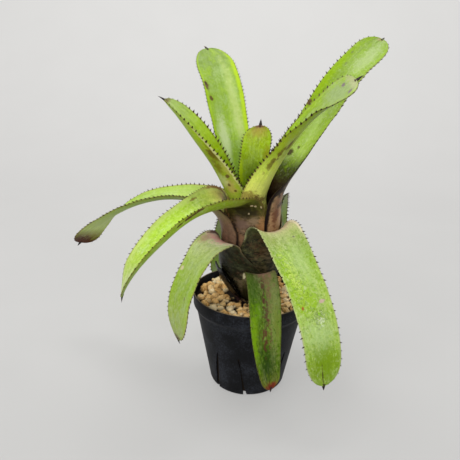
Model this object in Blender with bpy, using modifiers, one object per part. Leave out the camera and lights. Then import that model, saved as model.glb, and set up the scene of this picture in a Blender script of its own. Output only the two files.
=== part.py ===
"""Bromeliad in a black slit pot.

The plant stands on the pot's axis, which is the world Z axis. The origin is the middle of the
pot's base, and -Y is the front. Each leaf is one closed solid: a sheath that wraps part of the way
round the plant, a bend, and a strap-shaped blade with a spine at each row of its margins and a dry
point at its tip. Sizes below are millimetres and degrees; MM turns them into metres where a mesh
is made.
"""

import math
import random
from dataclasses import dataclass

import bmesh
import bpy
from mathutils import Vector

MM = 0.001

# Pot, a turned shell with a stepped rim band and a rounded foot
POT_HEIGHT = 92.0
RIM_RADIUS = 52.5
BAND_HEIGHT = 12.0
BAND_DRAFT = 0.4
BAND_STEP = 3.8
WALL_RADIUS = 49.2
FOOT_RADIUS = 35.6
FOOT_ROUND = 4.8
WALL = 1.2
FLOOR = 1.5
POT_STEPS = 56

# Slits in the pot's wall, in pairs that lean towards each other
SLIT_PAIRS = 4
PAIR_TURN = -117.0
SLIT_SPREAD_LOW = 25.0
SLIT_SPREAD_HIGH = 14.0
SLIT_HEIGHT = 44.0
SLIT_WIDTH = 3.2
SLIT_TIP_WIDTH = 0.9

# Grit that fills the pot
GRIT_LEVEL = 84.5
CLEARANCE = 0.3
GRAIN_COUNT = 104
GRAIN_RADIUS = (3.6, 4.9)
GRAIN_NEAREST = 20.5
GRAIN_FURTHEST = 46.3
GRIT_SEED = 11

# Short stem inside the leaf bases
STEM_RADIUS = 11.0
STEM_TIP_RADIUS = 3.0
STEM_SHOULDER = 84.0
STEM_TOP = 110.0
STEM_BOTTOM = 58.0
STEM_STEPS = 24

# Tube that the nested sheaths make: its outermost layer bulges from the foot to full width
TUBE_FOOT_HEIGHT = 86.0
TUBE_FOOT_RADIUS = 12.0
TUBE_RADIUS = 30.8
TUBE_BULGE = 40.0

# Leaf tissue
SHEATH_THICK = 1.0
MIDDLE_THICK = 1.2
EDGE_THICK = 0.7
LEAST_COLUMNS = 6
COLUMN_ANGLE = 24.0
SHEATH_LEVELS = (93.0, 102.0, 113.0, 126.0, 150.0)
LEVEL_APART = 4.0
ROW_STEP = 10.5
BEND_STEP = 24.0
ROW_LEAST = 4.0
TIP_TURNS = (24.0, 46.0, 65.0, 79.0, 86.0)
SPINE_LENGTH = 2.3
SPINE_ROOT = 0.75
SPINE_ROOM = 2.2
SPINE_LEAN = 0.45
POINT_LENGTH = 4.5
FLARE_SHARE = 0.42

# Dead leaf base at the left of the plant
HUSK_LAYER = 32.6
HUSK_HEADING = 203.0
HUSK_WRAP = 36.0
HUSK_TOP = 124.0
HUSK_RAGGED = 5.0
HUSK_NARROWING = 0.35
HUSK_ROWS = 6


@dataclass(frozen=True)
class Leaf:
    """One leaf. Pairs are (at the foot, at the throat); longer rows run from throat to tip."""

    name: str
    colour: tuple
    layer: float  # radius of its sheath where the tube is at full width
    heading: tuple  # direction of the midrib, counter-clockwise from +X
    wrap: tuple  # half the angle that the sheath wraps round the plant
    throat: float  # height where the blade starts to leave the tube
    bend: float  # radius of the bend between sheath and blade
    length: float  # blade past the bend
    half_width: float
    taper: float  # share of the width lost from bend to tip
    round_from: float  # share of the blade where the rounded end starts
    swing: tuple  # turn of the heading at half length and at the tip
    climb: tuple  # slope of the midrib: 90 is straight up, -90 straight down
    twist: tuple  # roll about the midrib at half length and at the tip
    curl: tuple  # half the angle of the channel across the blade
    neck: tuple = ()  # (x, y, radius) of the sheath's own ring at the throat, if off the axis


GREEN = (0.30, 0.50, 0.07)
LIME = (0.38, 0.56, 0.06)
GREY_GREEN = (0.40, 0.52, 0.20)
DEEP_GREEN = (0.16, 0.32, 0.05)

LEAVES = (
    Leaf("leaf_back_tall", GREEN, layer=21.8, heading=(120, 117), wrap=(70, 32), throat=180,
         bend=20, length=128, half_width=17.2, taper=-0.13, round_from=0.79, swing=(-1, 9),
         climb=(51, 60, 65, 52, 45), twist=(-9, -12), curl=(60, 34, 15)),
    Leaf("leaf_left_upper", LIME, layer=16.4, heading=(-170, -169), wrap=(66, 71), throat=166,
         bend=24, length=102, half_width=20.7, taper=0.03, round_from=0.59, swing=(-3, -8),
         climb=(61, 62, 55, 55, 44), twist=(-13, -12), curl=(100, 74, 29)),
    Leaf("leaf_centre", LIME, layer=20.0, heading=(88, 88), wrap=(70, 37), throat=170,
         bend=20, length=70, half_width=15.0, taper=0.05, round_from=0.78, swing=(-11, -12),
         climb=(94, 89, 73, 62, 63), twist=(-4, -13), curl=(51, 45, 23)),
    Leaf("leaf_right_back", GREEN, layer=23.6, heading=(25, 30), wrap=(105, 70), throat=177,
         bend=30, length=169, half_width=18.1, taper=0.11, round_from=0.88, swing=(12, -1),
         climb=(56, 51, 48, 37, 39), twist=(15, 30), curl=(54, 34, 19)),
    Leaf("leaf_right_front", LIME, layer=18.2, heading=(-42, -29), wrap=(86, 90), throat=182,
         bend=15, length=118, half_width=18.3, taper=0.01, round_from=0.88, swing=(29, 13),
         climb=(74, 64, 55, 44, 45), twist=(-5, 33), curl=(90, 53, 12), neck=(-4.9, -7.5, 14.3)),
    Leaf("leaf_left_back", GREEN, layer=27.2, heading=(178, 165), wrap=(60, 66), throat=149,
         bend=23, length=156, half_width=16.9, taper=0.12, round_from=0.90, swing=(-7, -5),
         climb=(12, -12, -27, -36, -47), twist=(-6, 32), curl=(44, 43, -22)),
    Leaf("leaf_left_front", LIME, layer=25.4, heading=(-125, -137), wrap=(57, 66), throat=173,
         bend=6, length=123, half_width=19.3, taper=0.15, round_from=0.82, swing=(6, -13),
         climb=(4, -7, -24, -38, -69), twist=(13, 23), curl=(50, 64, 19)),
    Leaf("leaf_back_right_low", GREY_GREEN, layer=25.4, heading=(46, 62), wrap=(104, 48), throat=166,
         bend=9, length=106, half_width=17.0, taper=0.10, round_from=0.85, swing=(2, 4),
         climb=(-30, -62, -76, -82, -84), twist=(0, 0), curl=(35, 15, 15)),
    Leaf("leaf_front_right_low", GREY_GREEN, layer=27.2, heading=(-45, -59), wrap=(55, 47), throat=152,
         bend=7, length=130, half_width=18.7, taper=0.20, round_from=0.82, swing=(2, -6),
         climb=(-28, -40, -54, -72, -85), twist=(16, 9), curl=(38, 0, 10)),
    Leaf("leaf_front_left_low", GREY_GREEN, layer=29.0, heading=(-122, -137), wrap=(50, 47), throat=140,
         bend=7, length=99, half_width=15.3, taper=-0.02, round_from=0.72, swing=(9, -4),
         climb=(6, -35, -53, -80, -92), twist=(14, 6), curl=(22, 18, 2)),
    Leaf("leaf_back_left_low", GREY_GREEN, layer=29.0, heading=(112, 106), wrap=(58, 38), throat=138,
         bend=9, length=108, half_width=16.5, taper=0.10, round_from=0.85, swing=(0, -2),
         climb=(-12, -44, -61, -76, -83), twist=(0, 0), curl=(30, 12, 12)),
    Leaf("leaf_front_lowest", DEEP_GREEN, layer=30.8, heading=(-78, -80), wrap=(34, 26), throat=116,
         bend=7, length=91, half_width=15.0, taper=0.26, round_from=0.91, swing=(2, 9),
         climb=(-26, -51, -61, -65, -69), twist=(-2, -26), curl=(25, 8, 20)),
)


@dataclass
class Section:
    """One cross-section of a leaf: a circular arc from margin to margin."""

    centre: Vector
    side: Vector
    face: Vector
    half_width: float
    curl: float
    thick: float
    spined: bool


def smooth(share):
    """Ease from 0 to 1."""
    share = min(max(share, 0.0), 1.0)
    return share * share * (3.0 - 2.0 * share)


def along(values, share):
    """The smooth curve through evenly spaced values, read at a share of its length."""
    last = len(values) - 1
    place = min(max(share, 0.0), 1.0) * last
    i = min(int(place), last - 1)
    t = place - i
    here, after = values[i], values[i + 1]
    before = values[i - 1] if i > 0 else 2 * here - after
    beyond = values[i + 2] if i + 2 <= last else 2 * after - here
    slope_here, slope_after = (after - before) / 2, (beyond - here) / 2
    return (
        (2 * t**3 - 3 * t**2 + 1) * here
        + (t**3 - 2 * t**2 + t) * slope_here
        + (3 * t**2 - 2 * t**3) * after
        + (t**3 - t**2) * slope_after
    )


def tube_radius(height, layer):
    """Radius at a height of the sheath whose full radius is layer."""
    rise = min(max((height - TUBE_FOOT_HEIGHT) / TUBE_BULGE, 0.0), 1.0)
    outermost = TUBE_FOOT_RADIUS + (TUBE_RADIUS - TUBE_FOOT_RADIUS) * math.sin(rise * math.pi / 2)
    return outermost - (TUBE_RADIUS - layer)


def stem_radius(height):
    """Radius of the stem's cone above the grit."""
    share = (height - STEM_SHOULDER) / (STEM_TOP - STEM_SHOULDER)
    return STEM_RADIUS + (STEM_TIP_RADIUS - STEM_RADIUS) * share


def foot_height(layer):
    """Height where a sheath's foot meets the stem: its layer first clears the cone there."""
    height = TUBE_FOOT_HEIGHT
    while tube_radius(height, layer) - SHEATH_THICK / 2 < stem_radius(height) + CLEARANCE:
        height += 0.1
    return height


def outward(angle):
    """Level unit vector in a direction given in radians."""
    return Vector((math.cos(angle), math.sin(angle), 0.0))


def sheath_sections(leaf):
    """Level arcs round the plant from the stem to the throat."""
    foot = foot_height(leaf.layer)
    levels = [z for z in SHEATH_LEVELS if foot + LEVEL_APART < z < leaf.throat - LEVEL_APART]
    sections = []
    for height in (foot, *levels):
        share = (height - foot) / (leaf.throat - foot)
        radius = tube_radius(height, leaf.layer)
        middle = Vector((0.0, 0.0, height))
        if leaf.neck:
            x, y, own_radius = leaf.neck
            radius += (own_radius - radius) * share**2
            middle += Vector((x, y, 0.0)) * share**2
        angle = math.radians(leaf.heading[0] + (leaf.heading[1] - leaf.heading[0]) * share)
        wrap = math.radians(leaf.wrap[0] + (leaf.wrap[1] - leaf.wrap[0]) * share)
        way = outward(angle)
        side = Vector((-way.y, way.x, 0.0))
        sections.append(Section(middle + way * radius, side, -way, radius * wrap, wrap, SHEATH_THICK, False))
    return sections


def blade_rows(leaf, bend_length):
    """Distances from the throat of each row, closer together round the tip."""
    bends = max(1, min(math.ceil(abs(90.0 - leaf.climb[0]) / BEND_STEP), int(bend_length / ROW_LEAST)))
    straight = leaf.length * leaf.round_from
    rows = round(straight / ROW_STEP)
    places = [bend_length * i / bends for i in range(bends)]
    first = 0 if bend_length > ROW_LEAST else 1
    places += [bend_length + straight * i / rows for i in range(first, rows + 1)]
    tip = leaf.length - straight
    places += [bend_length + straight + tip * math.sin(math.radians(turn)) for turn in TIP_TURNS]
    return places


def blade_frame(leaf, place, bend_length):
    """Direction, side and face vectors and channel angle at a distance from the throat."""
    share = min(max((place - bend_length) / leaf.length, 0.0), 1.0)
    if place < bend_length:
        bent = place / bend_length
        climb = 90.0 + (leaf.climb[0] - 90.0) * bent
        swing = twist = 0.0
        curl = leaf.wrap[1] + (leaf.curl[0] - leaf.wrap[1]) * smooth(bent)
    else:
        climb = along(leaf.climb, share)
        swing = along((0.0, *leaf.swing), share)
        twist = math.radians(along((0.0, *leaf.twist), share))
        curl = along(leaf.curl, share)
    angle = math.radians(leaf.heading[1] + swing)
    slope = math.radians(climb)
    way = outward(angle)
    ahead = way * math.cos(slope) + Vector((0.0, 0.0, math.sin(slope)))
    level = Vector((-way.y, way.x, 0.0))
    over = ahead.cross(level)
    side = level * math.cos(twist) + over * math.sin(twist)
    face = over * math.cos(twist) - level * math.sin(twist)
    return ahead, side, face, math.radians(curl)


def blade_sections(leaf):
    """Sections from the throat to the tip, marched along the midrib in short steps."""
    bend_length = leaf.bend * math.radians(abs(90.0 - leaf.climb[0]))
    total = bend_length + leaf.length
    if leaf.neck:
        x, y, radius = leaf.neck
    else:
        x, y, radius = 0.0, 0.0, tube_radius(leaf.throat, leaf.layer)
    centre = Vector((x, y, leaf.throat)) + outward(math.radians(leaf.heading[1])) * radius
    root_width = radius * math.radians(leaf.wrap[1])
    sections = []
    reached = 0.0
    places = blade_rows(leaf, bend_length)
    for place, beyond in zip(places, [*places[1:], places[-1]]):
        spined = place - reached > SPINE_ROOM and beyond - place > SPINE_ROOM
        steps = max(1, math.ceil(place - reached))
        for i in range(steps):
            middle = reached + (place - reached) * (i + 0.5) / steps
            ahead = blade_frame(leaf, middle, bend_length)[0]
            centre = centre + ahead * ((place - reached) / steps)
        reached = place
        ahead, side, face, curl = blade_frame(leaf, place, bend_length)
        share = max((place - bend_length) / leaf.length, 0.0)
        width = root_width + (leaf.half_width - root_width) * smooth(place / (FLARE_SHARE * total))
        end = min(max((share - leaf.round_from) / (1.0 - leaf.round_from), 0.0), 1.0)
        width *= (1.0 - leaf.taper * share) * math.sqrt(max(1.0 - end**2, 0.0))
        sections.append(Section(centre, side, face, width, curl, MIDDLE_THICK, spined))
    return sections


def section_points(section, columns):
    """Pairs of points (inner face, outer face) from one margin of a section to the other."""
    curl = section.curl if abs(section.curl) > 0.01 else 0.01
    radius = section.half_width / curl
    pairs = []
    for column in range(columns + 1):
        across = 2.0 * column / columns - 1.0
        angle = curl * across
        arm = section.side * (radius * math.sin(angle)) + section.face * (radius * (1 - math.cos(angle)))
        normal = section.face * math.cos(angle) - section.side * math.sin(angle)
        thick = EDGE_THICK + (section.thick - EDGE_THICK) * (1.0 - across**4)
        middle = section.centre + arm
        pairs.append((middle + normal * (thick / 2), middle - normal * (thick / 2)))
    return pairs


class Skin:
    """Collects the vertices and faces of one closed leaf."""

    def __init__(self):
        self.bm = bmesh.new()

    def point(self, place):
        """Add a vertex at a place in millimetres."""
        return self.bm.verts.new(place * MM)

    def triangle(self, a, b, c):
        """Add a face."""
        self.bm.faces.new((a, b, c))

    def strip(self, a, b, c, d, split=True):
        """Two triangles over the corners a b c d, split from a to c or from b to d."""
        if split:
            self.triangle(a, b, c)
            self.triangle(a, c, d)
        else:
            self.triangle(a, b, d)
            self.triangle(b, c, d)


def margin_pairs(skin, section, pair, ahead, sign):
    """Vertices of one margin: one pair, or two with a spine's point between them."""
    inner, outer = pair
    if not section.spined:
        return [(skin.point(inner), skin.point(outer))], None
    root = ahead * SPINE_ROOT
    before = (skin.point(inner - root), skin.point(outer - root))
    after = (skin.point(inner + root), skin.point(outer + root))
    angle = section.curl * sign
    out = (section.side * math.cos(angle) + section.face * math.sin(angle)) * sign
    tip = (inner + outer) / 2 + out * SPINE_LENGTH + ahead * (SPINE_LENGTH * SPINE_LEAN)
    return [before, after], skin.point(tip)


def leaf_mesh(sections, columns, name, point_length):
    """The closed solid over a row of sections, with its spines and the dry point at its end."""
    skin = Skin()
    rows = []
    for i, section in enumerate(sections):
        pairs = section_points(section, columns)
        nearby = sections[min(i + 1, len(sections) - 1)].centre - sections[max(i - 1, 0)].centre
        ahead = nearby.normalized()
        right, right_tip = margin_pairs(skin, section, pairs[0], ahead, -1)
        inside = [(skin.point(a), skin.point(b)) for a, b in pairs[1:-1]]
        left, left_tip = margin_pairs(skin, section, pairs[-1], ahead, 1)
        rows.append((right, inside, left, right_tip, left_tip))

    for right, inside, left, right_tip, left_tip in rows:
        if right_tip:
            (a, c), (b, d) = right
            skin.triangle(inside[0][0], b, a)
            skin.triangle(inside[0][1], c, d)
            for one, two in ((a, b), (b, d), (d, c), (c, a)):
                skin.triangle(one, two, right_tip)
            (a, c), (b, d) = left
            skin.triangle(inside[-1][0], a, b)
            skin.triangle(inside[-1][1], d, c)
            for one, two in ((b, a), (d, b), (c, d), (a, c)):
                skin.triangle(one, two, left_tip)

    for low, high in zip(rows, rows[1:]):
        line_low = [low[0][-1], *low[1], low[2][-1]]
        line_high = [high[0][0], *high[1], high[2][0]]
        for j in range(len(line_low) - 1):
            a, b = line_low[j], line_low[j + 1]
            d, c = line_high[j], line_high[j + 1]
            split = (a[0].co - c[0].co).length < (b[0].co - d[0].co).length
            skin.strip(a[0], b[0], c[0], d[0], split)
            skin.strip(a[1], b[1], c[1], d[1], split)
        skin.strip(line_low[0][1], line_low[0][0], line_high[0][0], line_high[0][1])
        skin.strip(line_low[-1][0], line_low[-1][1], line_high[-1][1], line_high[-1][0])

    foot = [rows[0][0][0], *rows[0][1], rows[0][2][0]]
    for a, b in zip(foot, foot[1:]):
        skin.strip(a[1], b[1], b[0], a[0])
    end = [rows[-1][0][-1], *rows[-1][1], rows[-1][2][-1]]
    last = sections[-1].centre
    ahead = (last - sections[-2].centre).normalized()
    if point_length:
        apex = skin.point(last + ahead * point_length)
        ring = [pair[0] for pair in end] + [pair[1] for pair in reversed(end)]
        for a, b in zip(ring, ring[1:] + ring[:1]):
            skin.triangle(a, b, apex)
    else:
        for a, b in zip(end, end[1:]):
            skin.strip(a[0], b[0], b[1], a[1])

    bmesh.ops.recalc_face_normals(skin.bm, faces=skin.bm.faces)
    mesh = bpy.data.meshes.new(name)
    skin.bm.to_mesh(mesh)
    skin.bm.free()
    return mesh


def make_material(name, colour, roughness):
    """A plain Principled material."""
    material = bpy.data.materials.new(name)
    material.use_nodes = True
    shader = material.node_tree.nodes["Principled BSDF"]
    shader.inputs["Base Color"].default_value = (*colour, 1.0)
    shader.inputs["Roughness"].default_value = roughness
    shader.inputs["Metallic"].default_value = 0.0
    return material


def add_object(name, mesh, material, collection):
    """Put a mesh in a collection under a name."""
    thing = bpy.data.objects.new(name, mesh)
    collection.objects.link(thing)
    if material:
        mesh.materials.append(material)
    return thing


def turned(name, profile, steps, material, collection):
    """A solid of revolution from (radius, height) pairs in millimetres, by a Screw modifier."""
    bm = bmesh.new()
    points = [bm.verts.new((radius * MM, 0.0, height * MM)) for radius, height in profile]
    for a, b in zip(points, points[1:]):
        bm.edges.new((a, b))
    mesh = bpy.data.meshes.new(name)
    bm.to_mesh(mesh)
    bm.free()
    thing = add_object(name, mesh, material, collection)
    screw = thing.modifiers.new("turn", "SCREW")
    screw.axis = "Z"
    screw.steps = steps
    screw.render_steps = steps
    screw.use_merge_vertices = True
    screw.merge_threshold = 0.00001
    return thing


def applied(thing):
    """Replace an object's mesh by its evaluated one and drop its modifiers."""
    graph = bpy.context.evaluated_depsgraph_get()
    mesh = bpy.data.meshes.new_from_object(thing.evaluated_get(graph))
    thing.modifiers.clear()
    thing.data = mesh
    return thing


def pot_wall_profile():
    """Outer wall of the pot from rim to base, as (radius, height) pairs."""
    band_low = POT_HEIGHT - BAND_HEIGHT
    points = [
        (RIM_RADIUS, POT_HEIGHT),
        (RIM_RADIUS - BAND_DRAFT, band_low),
        (WALL_RADIUS, band_low - BAND_STEP),
    ]
    centre = (FOOT_RADIUS - FOOT_ROUND, FOOT_ROUND)
    for turn in (0.0, 30.0, 60.0, 90.0):
        angle = math.radians(turn)
        points.append(
            (centre[0] + FOOT_ROUND * math.cos(angle), centre[1] - FOOT_ROUND * math.sin(angle))
        )
    return points


def inner_wall_profile(inset):
    """The wall's line moved inwards by inset, from the floor up to the step under the band."""
    band_low = POT_HEIGHT - BAND_HEIGHT
    return [
        (FOOT_RADIUS - FOOT_ROUND - inset / 2, FLOOR),
        (FOOT_RADIUS - inset, FOOT_ROUND + inset / 2),
        (WALL_RADIUS - inset, band_low - BAND_STEP + inset / 3),
        (RIM_RADIUS - BAND_DRAFT - inset, band_low + inset / 3),
    ]


def slit_cutter(number, turn, lean, collection):
    """A slanting wedge through the wall, widest at the base, at an angle in degrees."""
    bm = bmesh.new()
    bmesh.ops.create_cube(bm, size=1.0)
    low, high = -4.0, SLIT_HEIGHT
    for vert in bm.verts:
        top = vert.co.z > 0.0
        width = SLIT_TIP_WIDTH if top else SLIT_WIDTH
        height = high if top else low
        spread = turn + (lean if top else 0.0)
        depth = (FOOT_RADIUS - 9.0) if vert.co.x < 0.0 else (WALL_RADIUS + 8.0)
        if top and vert.co.x < 0.0:
            depth = WALL_RADIUS - 14.0
        way = outward(math.radians(spread))
        side = Vector((-way.y, way.x, 0.0))
        place = way * depth + side * (width * (1.0 if vert.co.y > 0.0 else -1.0) / 2)
        place.z = height
        vert.co = place * MM
    mesh = bpy.data.meshes.new(f"slit_{number}")
    bm.to_mesh(mesh)
    bm.free()
    cutter = add_object(mesh.name, mesh, None, collection)
    cutter.hide_render = True
    cutter.display_type = "WIRE"
    return cutter


def build_pot(parts, cutters):
    """The pot: a turned shell with eight leaning slits cut through its wall."""
    inside = [(0.0, FLOOR), *inner_wall_profile(WALL), (RIM_RADIUS - WALL, POT_HEIGHT)]
    profile = [*inside, *pot_wall_profile(), (0.0, 0.0)]
    material = make_material("pot_plastic", (0.018, 0.019, 0.022), 0.45)
    pot = applied(turned("pot", profile, POT_STEPS, material, parts))
    number = 0
    for pair in range(SLIT_PAIRS):
        middle = PAIR_TURN + pair * 360.0 / SLIT_PAIRS
        for hand in (-1, 1):
            number += 1
            lean = hand * (SLIT_SPREAD_HIGH - SLIT_SPREAD_LOW)
            slit_cutter(number, middle + hand * SLIT_SPREAD_LOW, lean, cutters)
    cut = pot.modifiers.new("slits", "BOOLEAN")
    cut.operand_type = "COLLECTION"
    cut.collection = cutters
    cut.operation = "DIFFERENCE"
    cut.solver = "EXACT"
    return pot


def grain_places():
    """Spots for the grains: a sunflower spiral over the ring, each with a little scatter."""
    chance = random.Random(GRIT_SEED)
    golden = math.pi * (3.0 - math.sqrt(5.0))
    for i in range(GRAIN_COUNT):
        share = (i + 0.5) / GRAIN_COUNT
        reach = math.sqrt(GRAIN_NEAREST**2 + (GRAIN_FURTHEST**2 - GRAIN_NEAREST**2) * share)
        size = chance.uniform(*GRAIN_RADIUS)
        shape = [chance.uniform(0.8, 1.15) for _ in range(3)]
        turn = [chance.uniform(0.0, math.tau) for _ in range(3)]
        height = GRIT_LEVEL + chance.uniform(-0.6, 0.9)
        yield outward(i * golden) * reach + Vector((0.0, 0.0, height)), size, shape, turn


def build_grit(parts):
    """The grit: one bed that fills the pot, with a plain hole for the stem and grains on top."""
    inset = WALL + CLEARANCE
    wall = list(reversed(inner_wall_profile(inset)))
    profile = [
        (0.0, STEM_BOTTOM - CLEARANCE),
        (STEM_RADIUS + CLEARANCE, STEM_BOTTOM - CLEARANCE),
        (STEM_RADIUS + CLEARANCE, GRIT_LEVEL),
        (RIM_RADIUS - BAND_DRAFT - inset, GRIT_LEVEL),
        *wall[:-1],
        (wall[-1][0], FLOOR + CLEARANCE),
        (0.0, FLOOR + CLEARANCE),
    ]
    material = make_material("pale_grit", (0.78, 0.62, 0.42), 0.9)
    grit = applied(turned("grit", profile, POT_STEPS, material, parts))
    grains = bpy.data.collections.new("grains")
    bpy.context.scene.collection.children.link(grains)
    for number, (place, size, shape, turn) in enumerate(grain_places()):
        bm = bmesh.new()
        bmesh.ops.create_icosphere(bm, subdivisions=1, radius=size * MM)
        mesh = bpy.data.meshes.new(f"grain_{number}")
        bm.to_mesh(mesh)
        bm.free()
        grain = add_object(mesh.name, mesh, None, grains)
        grain.location = place * MM
        grain.rotation_euler = turn
        grain.scale = shape
    bpy.context.view_layer.update()
    join = grit.modifiers.new("grains", "BOOLEAN")
    join.operand_type = "COLLECTION"
    join.collection = grains
    join.operation = "UNION"
    join.solver = "MANIFOLD"
    applied(grit)
    for grain in list(grains.objects):
        bpy.data.objects.remove(grain)
    bpy.data.collections.remove(grains)
    return grit


def build_stem(parts):
    """The short stem: a plug in the grit and a cone inside the leaf bases."""
    profile = [
        (0.0, STEM_TOP),
        (STEM_TIP_RADIUS, STEM_TOP),
        (STEM_RADIUS, STEM_SHOULDER),
        (STEM_RADIUS, STEM_BOTTOM),
        (0.0, STEM_BOTTOM),
    ]
    material = make_material("stem_tissue", (0.20, 0.13, 0.06), 0.8)
    return applied(turned("stem", profile, STEM_STEPS, material, parts))


def build_leaf(leaf, parts):
    """One leaf from its sheath, bend and blade."""
    sections = sheath_sections(leaf) + blade_sections(leaf)
    columns = max(LEAST_COLUMNS, 2 * round(max(leaf.wrap) / COLUMN_ANGLE))
    mesh = leaf_mesh(sections, columns, leaf.name, POINT_LENGTH)
    material = make_material(f"{leaf.name}_tissue", leaf.colour, 0.4)
    return add_object(leaf.name, mesh, material, parts)


def build_husk(parts):
    """The dead, blackened leaf base that still clasps the left of the plant."""
    foot = GRIT_LEVEL + CLEARANCE
    sections = []
    for row in range(HUSK_ROWS + 1):
        share = row / HUSK_ROWS
        height = foot + (HUSK_TOP - foot) * share
        radius = tube_radius(height, HUSK_LAYER)
        wrap = math.radians(HUSK_WRAP * (1.0 - HUSK_NARROWING * share**3))
        way = outward(math.radians(HUSK_HEADING))
        side = Vector((-way.y, way.x, 0.0))
        centre = way * radius + Vector((0.0, 0.0, height))
        sections.append(Section(centre, side, -way, radius * wrap, wrap, SHEATH_THICK, False))
    mesh = leaf_mesh(sections, LEAST_COLUMNS, "dead_leaf_base", 0.0)
    top = (HUSK_TOP - 0.1) * MM
    for number, vert in enumerate(v for v in mesh.vertices if v.co.z > top):
        tooth = (number // 2) % 3
        vert.co.z -= HUSK_RAGGED * MM * (0.0, 0.55, 1.0)[tooth]
    material = make_material("dead_leaf_tissue", (0.03, 0.025, 0.02), 0.25)
    return add_object("dead_leaf_base", mesh, material, parts)


def build():
    """Clear the scene and make every piece."""
    for thing in list(bpy.data.objects):
        bpy.data.objects.remove(thing)
    parts = bpy.data.collections.new("bromeliad")
    cutters = bpy.data.collections.new("cutters")
    bpy.context.scene.collection.children.link(parts)
    bpy.context.scene.collection.children.link(cutters)
    build_pot(parts, cutters)
    build_grit(parts)
    build_stem(parts)
    build_husk(parts)
    for leaf in LEAVES:
        build_leaf(leaf, parts)


build()
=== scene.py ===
"""Looks of a bromeliad in a black slit pot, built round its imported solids.

Every solid is replaced by a finer piece of the same form and in the same place: leaves with hooked
marginal spines, a dry point and veined, scurfy tissue, a pot with a bead and real slits, and a bed of
angular grit. Sizes are millimetres and degrees unless a name says otherwise, and MM turns them into
metres where a mesh is made. The plant stands on the world Z axis, and -Y is the front.
"""

import logging
import math
import random
from dataclasses import dataclass, field, replace
from enum import Enum
from typing import Iterator, Mapping, Sequence, Union

import bmesh
import bpy
import numpy as np
from bpy.types import Material, Mesh, Node, NodeSocket, NodeTree, Object
from mathutils import Matrix, Vector, noise

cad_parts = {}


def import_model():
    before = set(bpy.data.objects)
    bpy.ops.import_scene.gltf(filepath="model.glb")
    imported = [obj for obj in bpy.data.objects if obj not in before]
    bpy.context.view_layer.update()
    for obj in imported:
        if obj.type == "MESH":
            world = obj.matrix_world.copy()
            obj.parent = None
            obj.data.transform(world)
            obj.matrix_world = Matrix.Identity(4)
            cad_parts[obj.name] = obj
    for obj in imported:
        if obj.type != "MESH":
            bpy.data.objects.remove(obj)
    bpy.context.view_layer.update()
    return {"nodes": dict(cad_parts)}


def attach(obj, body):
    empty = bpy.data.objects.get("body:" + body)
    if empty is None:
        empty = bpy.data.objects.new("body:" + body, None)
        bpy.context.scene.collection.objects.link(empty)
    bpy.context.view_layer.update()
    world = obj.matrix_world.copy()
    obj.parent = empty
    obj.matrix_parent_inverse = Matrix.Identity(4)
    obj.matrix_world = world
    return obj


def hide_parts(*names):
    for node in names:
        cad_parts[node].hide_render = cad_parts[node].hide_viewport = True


frame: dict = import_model()

MM: float = 0.001
MILLIMETRES: tuple[float, float, float] = (1000.0, 1000.0, 1000.0)
BODY: str = "root"
LOG = logging.getLogger("bromeliad")

Pair = tuple[float, float]
Colour = tuple[float, float, float]
Paint = tuple[int, int, int]
Stop = tuple[float, Colour]
Coat = tuple[tuple[float, Paint], ...]
Sockets = Mapping[str, NodeSocket]
Value = Union[NodeSocket, float, Sequence[float]]


def srgb(red: int, green: int, blue: int) -> Colour:
    """A display colour in 0 to 255 steps as a linear one."""
    return tuple(
        (c / 255 / 12.92) if c <= 10 else ((c / 255 + 0.055) / 1.055) ** 2.4 for c in (red, green, blue)
    )


class Face(Enum):
    """Which face of a leaf a mark is on."""

    INNER = "inner"
    OUTER = "outer"
    BOTH = "both"


INNER, OUTER, BOTH = Face


# Shape rules that the leaves, the tube and the dead leaf base share


def smooth(share: float) -> float:
    """Ease from 0 to 1."""
    share = min(max(share, 0.0), 1.0)
    return share * share * (3.0 - 2.0 * share)


def along(values: Sequence[float], share: float) -> float:
    """The smooth curve through evenly spaced values, read at a share of its length.

    Args:
        values: two or more numbers, evenly spaced along the curve.
        share: 0 at the first, 1 at the last.

    Returns:
        The value there.
    """
    last = len(values) - 1
    place = min(max(share, 0.0), 1.0) * last
    i = min(int(place), last - 1)
    t = place - i
    here, after = values[i], values[i + 1]
    before = values[i - 1] if i > 0 else 2 * here - after
    beyond = values[i + 2] if i + 2 <= last else 2 * after - here
    slope_here, slope_after = (after - before) / 2, (beyond - here) / 2
    return (
        (2 * t**3 - 3 * t**2 + 1) * here
        + (t**3 - 2 * t**2 + t) * slope_here
        + (3 * t**2 - 2 * t**3) * after
        + (t**3 - t**2) * slope_after
    )


def outward(angle: float) -> Vector:
    """Level unit vector in a direction given in radians."""
    return Vector((math.cos(angle), math.sin(angle), 0.0))


@dataclass(frozen=True)
class Tube:
    """The vase-shaped tube that the nested sheaths make, and the stem inside it."""

    foot_height: float = 86.0
    foot_radius: float = 12.0
    radius: float = 30.8
    bulge: float = 40.0
    sheath_thick: float = 1.0
    stem_radius: float = 11.0
    stem_tip_radius: float = 3.0
    stem_shoulder: float = 84.0
    stem_top: float = 110.0
    clearance: float = 0.3
    search_step: float = 0.1

    def radius_at(self, height: float, layer: float) -> float:
        """Radius at a height of the sheath whose full radius is layer."""
        rise = min(max((height - self.foot_height) / self.bulge, 0.0), 1.0)
        outermost = self.foot_radius + (self.radius - self.foot_radius) * math.sin(rise * math.pi / 2)
        return outermost - (self.radius - layer)

    def stem_radius_at(self, height: float) -> float:
        """Radius of the stem's cone above the grit."""
        share = (height - self.stem_shoulder) / (self.stem_top - self.stem_shoulder)
        return self.stem_radius + (self.stem_tip_radius - self.stem_radius) * share

    def foot_of(self, layer: float) -> float:
        """Height where a sheath's foot meets the stem."""
        height, reach = self.foot_height, self.sheath_thick / 2
        while self.radius_at(height, layer) - reach < self.stem_radius_at(height) + self.clearance:
            height += self.search_step
        return height


TUBE = Tube()


# Meshes and objects


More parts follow.
